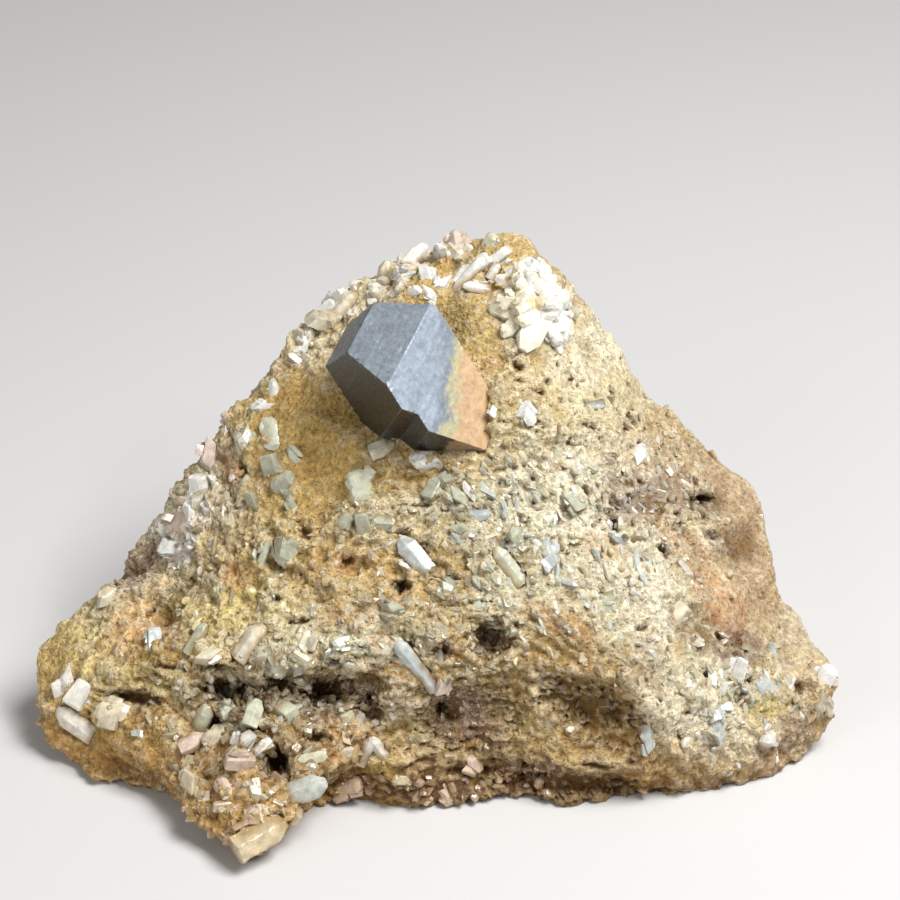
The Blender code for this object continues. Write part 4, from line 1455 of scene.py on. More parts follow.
@dataclass
class Swarm:
    """Many copies of a shape, joined in one mesh.

    Attributes:
        name: the piece's name.
        slot: its slot in the record; not used.
        finish: its material.
        seed: what its random draws start from.
        dirt: how much ochre dirt the copies' undersides carry.
        warp: how much each copy is sheared and stretched, as a share of its size.
        wear: how uneven its corners are, as a share of its size.
        fading: how much its colour varies from corner to corner.
        floor_shade_share: how strongly the painted shade near the floor darkens it.
    """

    name: str
    slot: str
    finish: bpy.types.Material
    seed: int
    dirt: float = 0.8
    warp: float = 0.12
    wear: float = 0.02
    fading: float = 0.05
    floor_shade_share: float = 0.6

    def __post_init__(self) -> None:
        """Starts with no copies."""
        self.dice = np.random.default_rng(self.seed)
        self.corners: list[Array] = []
        self.loops: list[Array] = []
        self.sizes: list[Array] = []
        self.tints: list[Array] = []
        self.count = 0

    def add(
        self, shape: Shape, places: Array, frames: Array, sizes: Array, tints: Array
    ) -> None:
        """Adds copies of a shape.

        Args:
            shape: what is copied.
            places: the middle of each copy, one in each row.
            frames: each copy's own axes, as the columns of a 3 x 3 matrix.
            sizes: each copy's width, thickness and length.
            tints: each copy's colour.
        """
        copies, corners = len(places), len(shape.corners)
        warps = np.eye(3) + self.dice.normal(0.0, self.warp, (copies, 3, 3))
        uneven = self.dice.normal(0.0, self.wear, (copies, corners, 3))
        shapes = (np.einsum("nij,vj->nvi", warps, shape.corners) + uneven) * sizes[:, None, :]
        moved = np.einsum("nij,nvj->nvi", frames, shapes) + places[:, None, :]
        steps = self.count + corners * np.arange(copies)
        self.corners.append(moved.reshape(-1, 3))
        self.loops.append((shape.loops[None] + steps[:, None]).ravel())
        self.sizes.append(np.tile(shape.sizes, copies))
        dirty = self.dirt * smoothstep(0.15, -0.45, shape.corners[:, 1])[None, :, None]
        shades = 1.0 + self.dice.normal(0.0, self.fading, (copies, corners, 1))
        cleaned = tints[:, None, :] * shades * (1.0 - dirty)
        self.tints.append((cleaned + Tone.OCHRE.linear() * 0.7 * dirty).reshape(-1, 3))
        self.count += corners * copies

    def join(self) -> bpy.types.Object:
        """Makes one piece of all the copies.

        Returns:
            The piece, which rides on the stone.
        """
        sizes = np.concatenate(self.sizes)
        loops = np.concatenate(self.loops)
        corners = np.concatenate(self.corners)
        corners[:, 2] = np.maximum(corners[:, 2], 0.0)
        mesh = bpy.data.meshes.new(self.name)
        mesh.vertices.add(self.count)
        mesh.vertices.foreach_set("co", corners.ravel())
        mesh.loops.add(len(loops))
        mesh.loops.foreach_set("vertex_index", loops)
        mesh.polygons.add(len(sizes))
        mesh.polygons.foreach_set("loop_start", np.cumsum(sizes) - sizes)
        mesh.update(calc_edges=True)
        obj = bpy.data.objects.new(self.name, mesh)
        bpy.context.scene.collection.objects.link(obj)
        # Darker and browner near the floor: painted shade
        paint(obj, np.concatenate(self.tints) * floor_shade(corners, self.floor_shade_share))
        shade(obj, 25.0)
        mesh.materials.append(self.finish)
        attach(obj, BODY)
        return obj


def lying_frames(normals: Array, turns: Array, lifts: Array) -> Array:
    """The axes of crystals that lie on the stone: side, top and length.

    Args:
        normals: the stone's outward direction under each crystal.
        turns: each crystal's heading about that direction, in radians.
        lifts: how far each crystal's end is tipped out, in radians.

    Returns:
        A 3 x 3 matrix for each crystal, with the axes as its columns.
    """
    away = np.where(np.abs(normals[:, :1]) < 0.9, (1.0, 0.0, 0.0), (0.0, 1.0, 0.0))
    first = away - normals * (away * normals).sum(axis=1, keepdims=True)
    first /= np.linalg.norm(first, axis=1, keepdims=True)
    second = np.cross(normals, first)
    flat = first * np.cos(turns)[:, None] + second * np.sin(turns)[:, None]
    length = flat * np.cos(lifts)[:, None] + normals * np.sin(lifts)[:, None]
    top = normals * np.cos(lifts)[:, None] - flat * np.sin(lifts)[:, None]
    side = np.cross(top, length)
    return np.stack((side, top, length), axis=2)


@dataclass(frozen=True)
class Bed:
    """A stretch of stone that small crystals or grains of one kind cover.

    Attributes:
        patch: the stretch of stone.
        count: how many there are.
        form: their form.
        length: their shortest and longest length, in millimetres.
        slim: their least and greatest width, as a share of the length.
        tones: their colours.
        lift: the most that an end is tipped out, in degrees.
        sink: how far the middle is sunk, as a share of the width.
        blend: how much of the stone's own colour they take, as a share.
        heading: where most of them point in the photograph, in degrees from the right.
        spread: how far they stray from that, in degrees.
        flatness: their least and greatest thickness, as a share of the width.
        shades: the least and greatest that their colours are multiplied by.
        tilt: how far they tilt away from the stone under them.
        lowest: how high above the floor the lowest of them lie.
    """

    patch: Patch
    count: int
    form: Form
    length: tuple[float, float]
    slim: tuple[float, float]
    tones: tuple[Tone, ...]
    lift: float = 35.0
    sink: float = 0.38
    blend: float = 0.45
    heading: float = 0.0
    spread: float = 180.0
    flatness: tuple[float, float] = (0.6, 0.95)
    shades: tuple[float, float] = (0.84, 1.14)
    tilt: float = 0.25
    lowest: float = 1.1 * MM

    def lay(self, ground: Ground, swarm: Swarm, shapes: Shapes) -> None:
        """Lays the crystals on the stone.

        Args:
            ground: the stone's surface.
            swarm: what the crystals are added to.
            shapes: each form's shape.
        """
        dice = swarm.dice
        radius = self.patch.radius(ground, ground.centres)
        chances = ground.areas * (1.0 - smoothstep(0.7, 1.1, radius)) * ground.roughness
        chances *= ground.centres[:, 2] > self.lowest
        chosen = dice.choice(len(chances), self.count, p=chances / chances.sum())
        normals = ground.normals[chosen] + dice.normal(0.0, self.tilt, (self.count, 3))
        normals /= np.linalg.norm(normals, axis=1, keepdims=True)
        turns = np.radians(self.heading + dice.uniform(-self.spread, self.spread, self.count))
        lifts = np.radians(dice.uniform(-0.3, 1.0, self.count) ** 3 * self.lift)
        lengths = dice.uniform(*self.length, self.count) * MM
        widths = lengths * dice.uniform(*self.slim, self.count)
        flats = widths * dice.uniform(*self.flatness, self.count)
        sizes = np.stack((widths, flats, lengths), axis=1)
        places = ground.centres[chosen] - normals * (widths * self.sink)[:, None]
        tones = np.array([tone.linear() for tone in self.tones])
        tints = tones[dice.integers(0, len(tones), self.count)]
        tints = tints * (1.0 - self.blend) + ground.colours[chosen] * self.blend
        tints = tints * dice.uniform(*self.shades, (self.count, 1))
        frames = lying_frames(normals, turns, lifts)
        swarm.add(shapes[self.form], places, frames, sizes, tints)


def cover(
    swarm: Swarm, beds: tuple[Bed, ...], ground: Ground, shapes: Shapes
) -> bpy.types.Object:
    """Lays a swarm's crystals over their beds and joins them.

    Args:
        swarm: the swarm.
        beds: its beds.
        ground: the surface that they lie on.
        shapes: each form's shape.

    Returns:
        The swarm's piece.
    """
    for bed in beds:
        bed.lay(ground, swarm, shapes)
    return swarm.join()


EVERYWHERE = Patch(460, 560, 200, 200)
GREENISH = (Tone.GREY_GREEN, Tone.GREY_GREEN, Tone.GREEN, Tone.PALE, Tone.BLUE_GREY, Tone.CREAM)
PALE_ONES = (Tone.CREAM, Tone.PALE, Tone.WHITE, Tone.GREY_GREEN)
SANDY_ONES = (Tone.TAN, Tone.CREAM, Tone.OCHRE)
GLASSY_ONES = (Tone.BLUE_GREY, Tone.WHITE)
ROSY_ONES = (Tone.WHITE, Tone.PINK)

UPRIGHT = {"heading": 80.0, "spread": 45.0}
SLANTED = {"heading": 125.0, "spread": 35.0}
BARE = {"sink": 0.2, "blend": 0.15}
LATH_BEDS = (
    Bed(
        EVERYWHERE, 600, Form.SHARD, (0.7, 1.8), (0.4, 0.7), (*GREENISH, Tone.CREAM, Tone.TAN),
        blend=0.55,
    ),
    Bed(Patch(420, 530, 13, 9), 190, Form.SHARD, (0.8, 2.0), (0.4, 0.6), GREENISH),
    Bed(Patch(540, 520, 10, 9), 230, Form.LATH, (0.8, 2.2), (0.35, 0.55), GREENISH, **SLANTED),
    Bed(Patch(660, 560, 11, 15), 200, Form.LATH, (0.8, 2.2), (0.35, 0.55), PALE_ONES, **SLANTED),
    Bed(Patch(560, 540, 13, 10), 70, Form.LATH, (1.2, 2.8), (0.2, 0.35), GLASSY_ONES, **BARE, **SLANTED),
    Bed(
        Patch(745, 708, 7, 8, -30), 34, Form.LATH, (1.0, 2.2), (0.3, 0.5), (*GLASSY_ONES, Tone.PALE),
        **BARE, **UPRIGHT,
    ),
    Bed(Patch(400, 640, 16, 5), 240, Form.SHARD, (0.9, 2.2), (0.4, 0.6), GREENISH),
    Bed(Patch(270, 720, 11, 7), 110, Form.LATH, (1.1, 2.6), (0.4, 0.6), (*GREENISH, Tone.WHITE), **UPRIGHT),
    Bed(Patch(230, 600, 9, 6), 110, Form.LATH, (0.8, 2.0), (0.4, 0.6), (*PALE_ONES, Tone.YELLOW)),
    Bed(Patch(225, 480, 4, 13, -25), 130, Form.LATH, (0.8, 2.2), (0.4, 0.6), PALE_ONES, **UPRIGHT),
    Bed(Patch(400, 278, 9, 2.4, 30), 60, Form.LATH, (1.4, 2.8), (0.5, 0.75), (Tone.WHITE,), **UPRIGHT),
    Bed(Patch(335, 325, 8, 2.2, 42), 55, Form.LATH, (1.3, 2.6), (0.5, 0.75), (Tone.WHITE, Tone.PALE)),
    Bed(Patch(230, 800, 6, 6), 90, Form.BLOCK, (0.8, 2.0), (0.5, 0.8), (*PALE_ONES, Tone.PINK), sink=0.45),
    Bed(
        Patch(188, 525, 2.4, 5.5, -30), 130, Form.BLOCK, (0.7, 1.7), (0.6, 0.9), ROSY_ONES,
        sink=0.35, blend=0.1,
    ),
    Bed(Patch(255, 832, 3, 3), 60, Form.BLOCK, (0.7, 1.6), (0.5, 0.8), ROSY_ONES, sink=0.45),
    Bed(Patch(440, 792, 14, 2.0), 80, Form.LATH, (0.8, 2.0), (0.4, 0.6), (Tone.PINK, Tone.TAN)),
)
BLOCK_BEDS = (
    Bed(EVERYWHERE, 550, Form.BLOCK, (0.5, 1.4), (0.5, 0.9), (*PALE_ONES, Tone.TAN), sink=0.45, blend=0.6),
    Bed(Patch(640, 560, 14, 16), 170, Form.BLOCK, (0.6, 1.6), (0.5, 0.9), PALE_ONES, sink=0.5, blend=0.7),
    Bed(Patch(735, 700, 8, 6), 70, Form.BLOCK, (0.7, 1.7), (0.5, 0.9), (*PALE_ONES, Tone.BLUE_GREY)),
    Bed(Patch(270, 700, 14, 8), 220, Form.BLOCK, (0.6, 1.5), (0.5, 0.9), PALE_ONES),
    Bed(Patch(480, 560, 12, 11), 150, Form.BLOCK, (0.5, 1.4), (0.5, 0.9), GREENISH, sink=0.48, blend=0.55),
)
SAND = {"sink": 0.2, "blend": 0.85}
GRAIN_BEDS = (
    Bed(EVERYWHERE, 6000, Form.GRAIN, (0.3, 0.68), (0.6, 1.0), SANDY_ONES, **SAND),
    Bed(Patch(300, 640, 22, 16), 1500, Form.GRAIN, (0.3, 0.7), (0.6, 1.0), SANDY_ONES, **SAND),
)
DRUSE_TONES = (Tone.BROWN, Tone.PURPLE, Tone.BEIGE, Tone.GREY, Tone.RUST)
VUG_TONES = (Tone.BROWN, Tone.PURPLE, Tone.PURPLE, Tone.BEIGE, Tone.GREY)
DRUSE_BEDS = (
    Bed(Patch(490, 639, 2.5, 2.3), 260, Form.BLOCK, (0.25, 0.5), (0.6, 1.0), VUG_TONES, 80, blend=0.3),
    Bed(Patch(443, 650, 1.6, 1.8), 60, Form.BLOCK, (0.3, 0.6), (0.6, 1.0), DRUSE_TONES, 60),
    Bed(Patch(458, 716, 4.0, 4.2), 260, Form.BLOCK, (0.3, 0.7), (0.6, 1.0), DRUSE_TONES, 60),
    Bed(Patch(530, 768, 4.0, 1.8), 90, Form.BLOCK, (0.3, 0.7), (0.6, 1.0), DRUSE_TONES, 60),
    Bed(Patch(138, 566, 3.0, 4.0), 120, Form.BLOCK, (0.4, 0.9), (0.6, 1.0), DRUSE_TONES, 40),
    Bed(Patch(340, 695, 8.0, 1.8), 160, Form.BLOCK, (0.3, 0.7), (0.6, 1.0), DRUSE_TONES, 40),
)


@dataclass(frozen=True)
class Prism:
    """A crystal at a pixel of the photograph.

    Attributes:
        across: the pixel of its middle, from the left.
        down: the pixel of its middle, from the top.
        heading: where its free end points in the photograph, in degrees from the right.
        length: its length, in millimetres.
        width: its width, in millimetres.
        lift: how far its free end is tipped out of the stone, in degrees.
    """

    across: float
    down: float
    heading: float
    length: float
    width: float
    lift: float


# Crystals that are one with the matrix, by colour
SET_CRYSTALS: dict[Tone, tuple[Prism, ...]] = {
    Tone.WHITE: each(
        Prism, (441, 253, 70, 2.2, 1.4, 25), (403, 277, 40, 2.2, 1.3, 15), (427, 274, 100, 2.2, 1.3, 15),
        (442, 281, 60, 1.9, 1.1, 15), (412, 292, 20, 1.8, 1.2, 12), (429, 293, 150, 1.9, 1.2, 12),
        (501, 255, 30, 2.0, 1.2, 20), (265, 407, 40, 2.3, 1.3, 15), (272, 393, 65, 2.6, 1.3, 15),
        (424, 464, 30, 2.6, 1.8, 10), (439, 466, 110, 2.1, 1.3, 12), (519, 409, 55, 2.4, 1.0, 25),
        (526, 413, 130, 2.6, 1.1, 20), (66, 679, 100, 2.4, 1.7, 12), (81, 695, 50, 2.4, 1.7, 12),
        (245, 746, 70, 2.9, 1.8, 10), (266, 749, 60, 2.6, 1.8, 10), (641, 454, 110, 1.9, 1.3, 15),
        (741, 672, 60, 2.2, 1.4, 12), (772, 737, 40, 2.3, 1.5, 12), (827, 676, 60, 2.2, 1.7, 20),
        (462, 274, 48, 3.4, 1.9, 12), (478, 267, 15, 2.6, 1.5, 15), (484, 288, 170, 3.0, 1.0, 8),
        (341, 303, 50, 3.2, 2.2, 20), (353, 298, 100, 2.6, 1.8, 20), (330, 311, 30, 2.4, 1.8, 15),
        (303, 335, 60, 2.6, 1.9, 20), (186, 517, 70, 2.8, 2.0, 20), (176, 545, 60, 2.8, 2.0, 20),
        (201, 489, 80, 2.6, 1.8, 20), (162, 521, 100, 2.4, 1.8, 25),
    ),
    Tone.PALE: each(
        Prism, (489, 242, 60, 2.0, 1.5, 25), (325, 322, 50, 2.3, 1.6, 20), (300, 338, 60, 2.2, 1.5, 20),
        (196, 500, 70, 2.6, 2.0, 20), (218, 737, 45, 2.4, 1.6, 10), (253, 794, 50, 2.4, 1.8, 10),
        (190, 782, 70, 2.4, 1.8, 12), (108, 598, 80, 2.2, 1.6, 20), (110, 711, 170, 3.0, 2.0, 8),
        (405, 780, 60, 2.0, 1.4, 10), (680, 614, 30, 2.0, 1.4, 12), (820, 705, 100, 2.2, 1.5, 15),
        (302, 642, 70, 2.4, 1.5, 12), (300, 662, 150, 2.4, 1.4, 12), (212, 652, 60, 2.7, 1.4, 12),
        (384, 650, 60, 2.4, 1.4, 12),
    ),
    Tone.PINK: each(
        Prism, (456, 238, 110, 2.4, 1.7, 30), (176, 528, 60, 2.8, 2.2, 20), (210, 455, 75, 2.2, 1.6, 20),
        (449, 795, 20, 2.2, 1.6, 10), (347, 785, 10, 2.4, 1.6, 10), (472, 760, 150, 2.2, 1.4, 10),
        (240, 763, 150, 2.4, 1.7, 10), (446, 684, 70, 2.4, 1.3, 12), (222, 786, 120, 2.4, 1.5, 10),
    ),
    Tone.GREY_GREEN: each(
        Prism, (270, 432, 100, 3.4, 1.4, 10), (245, 438, 110, 2.3, 1.5, 15), (271, 465, 80, 2.1, 1.6, 15),
        (292, 459, 130, 2.3, 1.2, 10), (360, 484, 110, 3.0, 2.1, 8), (379, 525, 45, 2.5, 1.4, 12),
        (433, 488, 60, 2.1, 1.2, 12), (457, 493, 140, 2.3, 1.2, 12), (519, 540, 130, 2.8, 1.6, 10),
        (545, 520, 60, 2.3, 1.3, 12), (575, 500, 120, 2.3, 1.3, 12), (393, 606, 30, 2.2, 1.4, 12),
        (475, 603, 110, 2.3, 1.3, 12), (227, 706, 95, 2.0, 1.3, 12), (292, 716, 120, 2.4, 1.9, 10),
        (342, 716, 70, 2.5, 1.9, 10), (344, 640, 30, 2.4, 1.4, 12), (272, 668, 20, 2.6, 1.5, 12),
        (514, 633, 100, 1.4, 0.8, 10), (606, 604, 60, 2.0, 1.2, 12), (313, 758, 20, 2.8, 1.4, 10),
    ),
    Tone.GREEN: each(
        Prism, (282, 482, 20, 2.6, 2.1, 12), (294, 504, 140, 3.2, 1.0, 12), (252, 502, 75, 2.1, 1.3, 12),
        (285, 554, 120, 2.7, 2.1, 8), (266, 554, 60, 2.0, 1.4, 12), (344, 520, 30, 2.1, 1.3, 12),
        (364, 526, 100, 2.6, 1.5, 12), (447, 478, 20, 2.1, 1.3, 12), (466, 532, 160, 2.2, 1.3, 12),
        (448, 590, 150, 2.0, 1.2, 12),
    ),
    Tone.BLUE_GREY: each(
        Prism, (470, 516, 176, 3.6, 1.1, 8), (550, 553, 120, 2.9, 1.6, 10), (157, 637, 75, 2.7, 1.4, 15),
        (718, 712, 80, 2.1, 1.4, 12), (721, 729, 150, 2.0, 1.3, 12), (650, 740, 110, 2.4, 1.2, 10),
        (768, 688, 120, 2.3, 1.5, 12), (596, 408, 60, 2.0, 1.3, 15), (140, 733, 90, 0.9, 0.8, 10),
        (518, 549, 130, 1.6, 0.9, 12), (494, 412, 60, 0.9, 0.6, 20), (481, 431, 40, 0.8, 0.5, 20),
    ),
}
GREEN_TONES = (Tone.GREY_GREEN, Tone.GREEN, Tone.BLUE_GREY)


@dataclass(frozen=True)
class Clusters:
    """Lays crystals where the photograph shows them, each grown together with smaller sisters.

    Attributes:
        forms: the forms that the crystals take in turn.
        sister_forms: the forms of each crystal's sisters.
        sink: how far a crystal's middle is sunk, as a share of its width.
        swell: what its width, its width again for its thickness, and its length are multiplied by.
        shades: the least and greatest that its colour is multiplied by.
        sister_size: the sisters' least and greatest size, as a share of the crystal's.
        sister_away: how far beside it they stand, as a share of its width.
        sister_along: how far along it they stand, as a share of its length.
        sister_lean: how far they lean away from it.
        sister_shade: how much darker they are.
    """

    forms: tuple[Form, ...] = (Form.PRISM, Form.SHARD, Form.BLOCK, Form.SHARD)
    sister_forms: tuple[Form, ...] = (Form.SHARD, Form.LATH, Form.BLOCK)
    sink: float = 0.24
    swell: tuple[float, float, float] = (1.14, 0.9, 1.12)
    shades: tuple[float, float] = (0.82, 1.08)
    sister_size: tuple[float, float] = (0.3, 0.6)
    sister_away: tuple[float, float] = (0.4, 0.75)
    sister_along: tuple[float, float] = (-0.4, 0.3)
    sister_lean: float = 0.17
    sister_shade: float = 0.92

    def lay(
        self, prisms: tuple[Prism, ...], tone: Tone, ground: Ground, swarm: Swarm, shapes: Shapes
    ) -> None:
        """Lays the crystals of one colour.

        Args:
            prisms: the crystals.
            tone: their colour.
            ground: the stone's surface.
            swarm: what the crystals are added to.
            shapes: each form's shape.
        """
        copies: dict[Form, list[tuple[Array, ...]]] = {form: [] for form in shapes}
        for number, prism in enumerate(prisms):
            place, normal = ground.meet(prism.across, prism.down)
            form = self.forms[number % len(self.forms)]
            for sister, sister_form in enumerate((form, *self.sister_forms)):
                grown = self._grow(prism, place, normal, swarm.dice, sister > 0)
                shading = swarm.dice.uniform(*self.shades)
                tint = tone.linear() * shading * (self.sister_shade if sister else 1.0)
                copies[sister_form].append((*grown, tint))
        for form, rows in copies.items():
            if rows:
                swarm.add(shapes[form], *(np.array(column) for column in zip(*rows)))

    def _grow(
        self, prism: Prism, place: Vector, normal: Vector, dice: np.random.Generator, sister: bool
    ) -> tuple[Array, Array, Array]:
        """Places one crystal, or one of its sisters.

        Args:
            prism: the crystal.
            place: where it meets the stone.
            normal: the stone's outward direction there.
            dice: where the random draws come from.
            sister: whether this is a sister.

        Returns:
            The middle, the axes and the size.
        """
        heading = math.radians(prism.heading)
        flat = SIGHT.right * math.cos(heading) + SIGHT.up * math.sin(heading)
        flat = (flat - normal * flat.dot(normal)).normalized()
        lift = math.radians(prism.lift)
        axis = flat * math.cos(lift) + normal * math.sin(lift)
        side = normal.cross(axis).normalized()
        middle = place - normal * prism.width * self.sink * MM
        size = np.array((prism.width, prism.width, prism.length)) * self.swell * MM
        share, away, along = 1.0, 0.0, 0.0
        lean = Vector((0.0, 0.0, 0.0))
        if sister:
            share = dice.uniform(*self.sister_size)
            away = dice.uniform(*self.sister_away) * dice.choice((-1.0, 1.0)) * prism.width * MM
            along = dice.uniform(*self.sister_along) * prism.length * MM
            lean = Vector(dice.normal(0.0, self.sister_lean, 3))
        length = (axis + lean).normalized()
        top = (normal - length * normal.dot(length)).normalized()
        axes = np.array((top.cross(length), top, length)).T
        return np.array(middle + side * away + axis * along), axes, size * share


@dataclass(frozen=True)
class LooseCrystal:
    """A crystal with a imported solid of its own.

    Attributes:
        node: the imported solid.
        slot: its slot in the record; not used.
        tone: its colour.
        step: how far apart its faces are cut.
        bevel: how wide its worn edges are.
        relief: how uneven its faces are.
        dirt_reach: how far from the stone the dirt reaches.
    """

    node: str
    slot: str
    tone: Tone
    step: float = 0.3 * MM
    bevel: float = 0.055 * MM
    relief: float = 0.02 * MM
    dirt_reach: float = 0.8 * MM

    def build(self, stone: Ground, finish: bpy.types.Material) -> bpy.types.Object:
        """Bevels the crystal's edges, roughens its faces, soils its foot and darkens it near the floor as
        painted shade.

        Args:
            stone: the stone that it is set in.
            finish: its material.

        Returns:
            The crystal's piece.
        """
        piece = copy_of_node(self.node, f"{self.node}_skin")
        with editing(piece):
            bpy.ops.mesh.select_all(action="SELECT")
            bpy.ops.mesh.dissolve_limited(angle_limit=math.radians(2.0))
            if self.bevel:
                bevel_edges(self.bevel)
        low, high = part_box(self.node)
        slice_faces(piece, tuple(
            (tuple(float(axis == n) for n in range(3)), low[axis], high[axis], self.step)
            for axis in range(3)
        ))
        places = vertex_places(piece)
        height = soft_noise(places, 0.7 * MM, 61.0) + 0.5 * soft_noise(places, 0.3 * MM, 71.0)
        places += vertex_normals(piece) * (height * self.relief)[:, None]
        places[:, 2] = np.maximum(places[:, 2], 0.0)
        move_vertices(piece, places)
        paint(piece, self._colours(places, stone))
        shade(piece, 20.0)
        piece.data.materials.append(finish)
        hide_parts(self.node)
        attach(piece, BODY)
        return piece

    def _colours(self, places: Array, stone: Ground) -> Array:
        """The crystal's colours: cloudy, soiled where it meets the stone, and darker near the floor as
        painted shade.

        Args:
            places: the places of its vertices.
            stone: the stone that it is set in.

        Returns:
            A colour in each row.
        """
        cloud = 1.0 + 0.2 * soft_noise(places, 0.9 * MM, 81.0)[:, None]
        gaps = np.array([stone.tree.find_nearest(Vector(place))[3] for place in places])
        dirty = 0.75 * (1.0 - smoothstep(0.1 * MM, self.dirt_reach, gaps))[:, None]
        # Darker and browner near the floor: painted shade
        clean = self.tone.linear() * cloud * floor_shade(places, 0.5)
        return clean * (1.0 - dirty) + Tone.OCHRE.linear() * dirty


@dataclass(frozen=True)
class WhiteTuft(LooseCrystal):
    """The tuft of white and cream crystals near the top."""

    node: str = "white_tuft"
    slot: str = "white_crystal"
    dirt_reach: float = 0.35 * MM
    tone: Tone = Tone.WHITE
    bevel: float = 0.0

    def _colours(self, places: Array, stone: Ground) -> Array:
        """White, with cream and honey in the tuft's middle and left.

        Args:
            places: the places of its vertices.
            stone: the stone that it is set in.

        Returns:
            A colour in each row.
        """
        colours = super()._colours(places, stone)
        stain(colours, Ground(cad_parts[self.node]), places, TUFT_STAINS)
        return colours


TUFT_STAINS: Stains = (
    (Tone.IVORY, each(
        Patch, (518, 296, 3.2, 4.0, 0, 0.9), (508, 314, 2.4, 2.6, 0, 0.9), (531, 335, 2.4, 3.0, -35, 0.7),
    )),
    (Tone.YELLOW, each(Patch, (534, 303, 1.4, 1.0, 0, 0.5), (514, 298, 1.0, 2.4, 0, 0.35))),
    (Tone.ORANGE, each(
        Patch, (506, 283, 0.6, 1.6, -20, 0.5), (531, 308, 0.5, 0.4, 0, 0.7),
        (539, 307, 0.5, 0.35, 0, 0.6), (504, 296, 0.6, 0.5, 0, 0.4),
    )),
)
TUFT_BEDS = (
    Bed(Patch(541, 275, 2.6, 2.2), 22, Form.PRISM, (1.3, 2.4), (0.45, 0.7), (Tone.WHITE,), 60, 0.1, 0),
    Bed(Patch(557, 318, 2.0, 3.4), 30, Form.PRISM, (1.2, 2.4), (0.35, 0.6), (Tone.WHITE,), 60, 0.1, 0),
    Bed(Patch(520, 290, 2.6, 2.6), 16, Form.PRISM, (1.6, 2.8), (0.5, 0.7), (Tone.IVORY,), 40, 0.25, 0.2),
    Bed(Patch(508, 314, 2.0, 2.0), 14, Form.PRISM, (1.3, 2.2), (0.6, 0.8), (Tone.IVORY,), 40, 0.25, 0.2),
    Bed(Patch(502, 285, 1.0, 1.4), 5, Form.PRISM, (0.7, 1.2), (0.5, 0.7), (Tone.YELLOW,), 40, 0.2, 0.2),
)

LOOSE_CRYSTALS = (
    *(LooseCrystal(node, "white_crystal", Tone.WHITE) for node in (
        "white_twin", "white_blade_long", "white_blade_short", "white_blade_upper", "rim_block",
        "left_lobe_crystal",
    )),
    *(LooseCrystal(node, "white_crystal", Tone.PALE) for node in (
        "grey_white_prism", "rim_prism", "rim_cream_block",
    )),
    LooseCrystal("foot_crystal", "white_crystal", Tone.PALE, relief=0.14 * MM, dirt_reach=2.2 * MM),
    *(LooseCrystal(node, "green_crystal", Tone.GREY_GREEN) for node in (
        "pale_green_prism", "green_blade", "green_prism_low",
    )),
    LooseCrystal("green_prism_left", "green_crystal", Tone.GREEN),
    *(LooseCrystal(node, "grey_crystal", Tone.BLUE_GREY) for node in (
        "blue_grey_prism", "pale_chip", "glassy_block",
    )),
    LooseCrystal("pink_block", "pink_crystal", Tone.PINK),
    # Painted light: the grain's tone is pale, lighter than its own grey-brown, because it lies in the
    # anatase's shadow
    LooseCrystal("brown_grain", "brown_crystal", Tone.PALE, relief=0.06 * MM, dirt_reach=0.3 * MM),
)


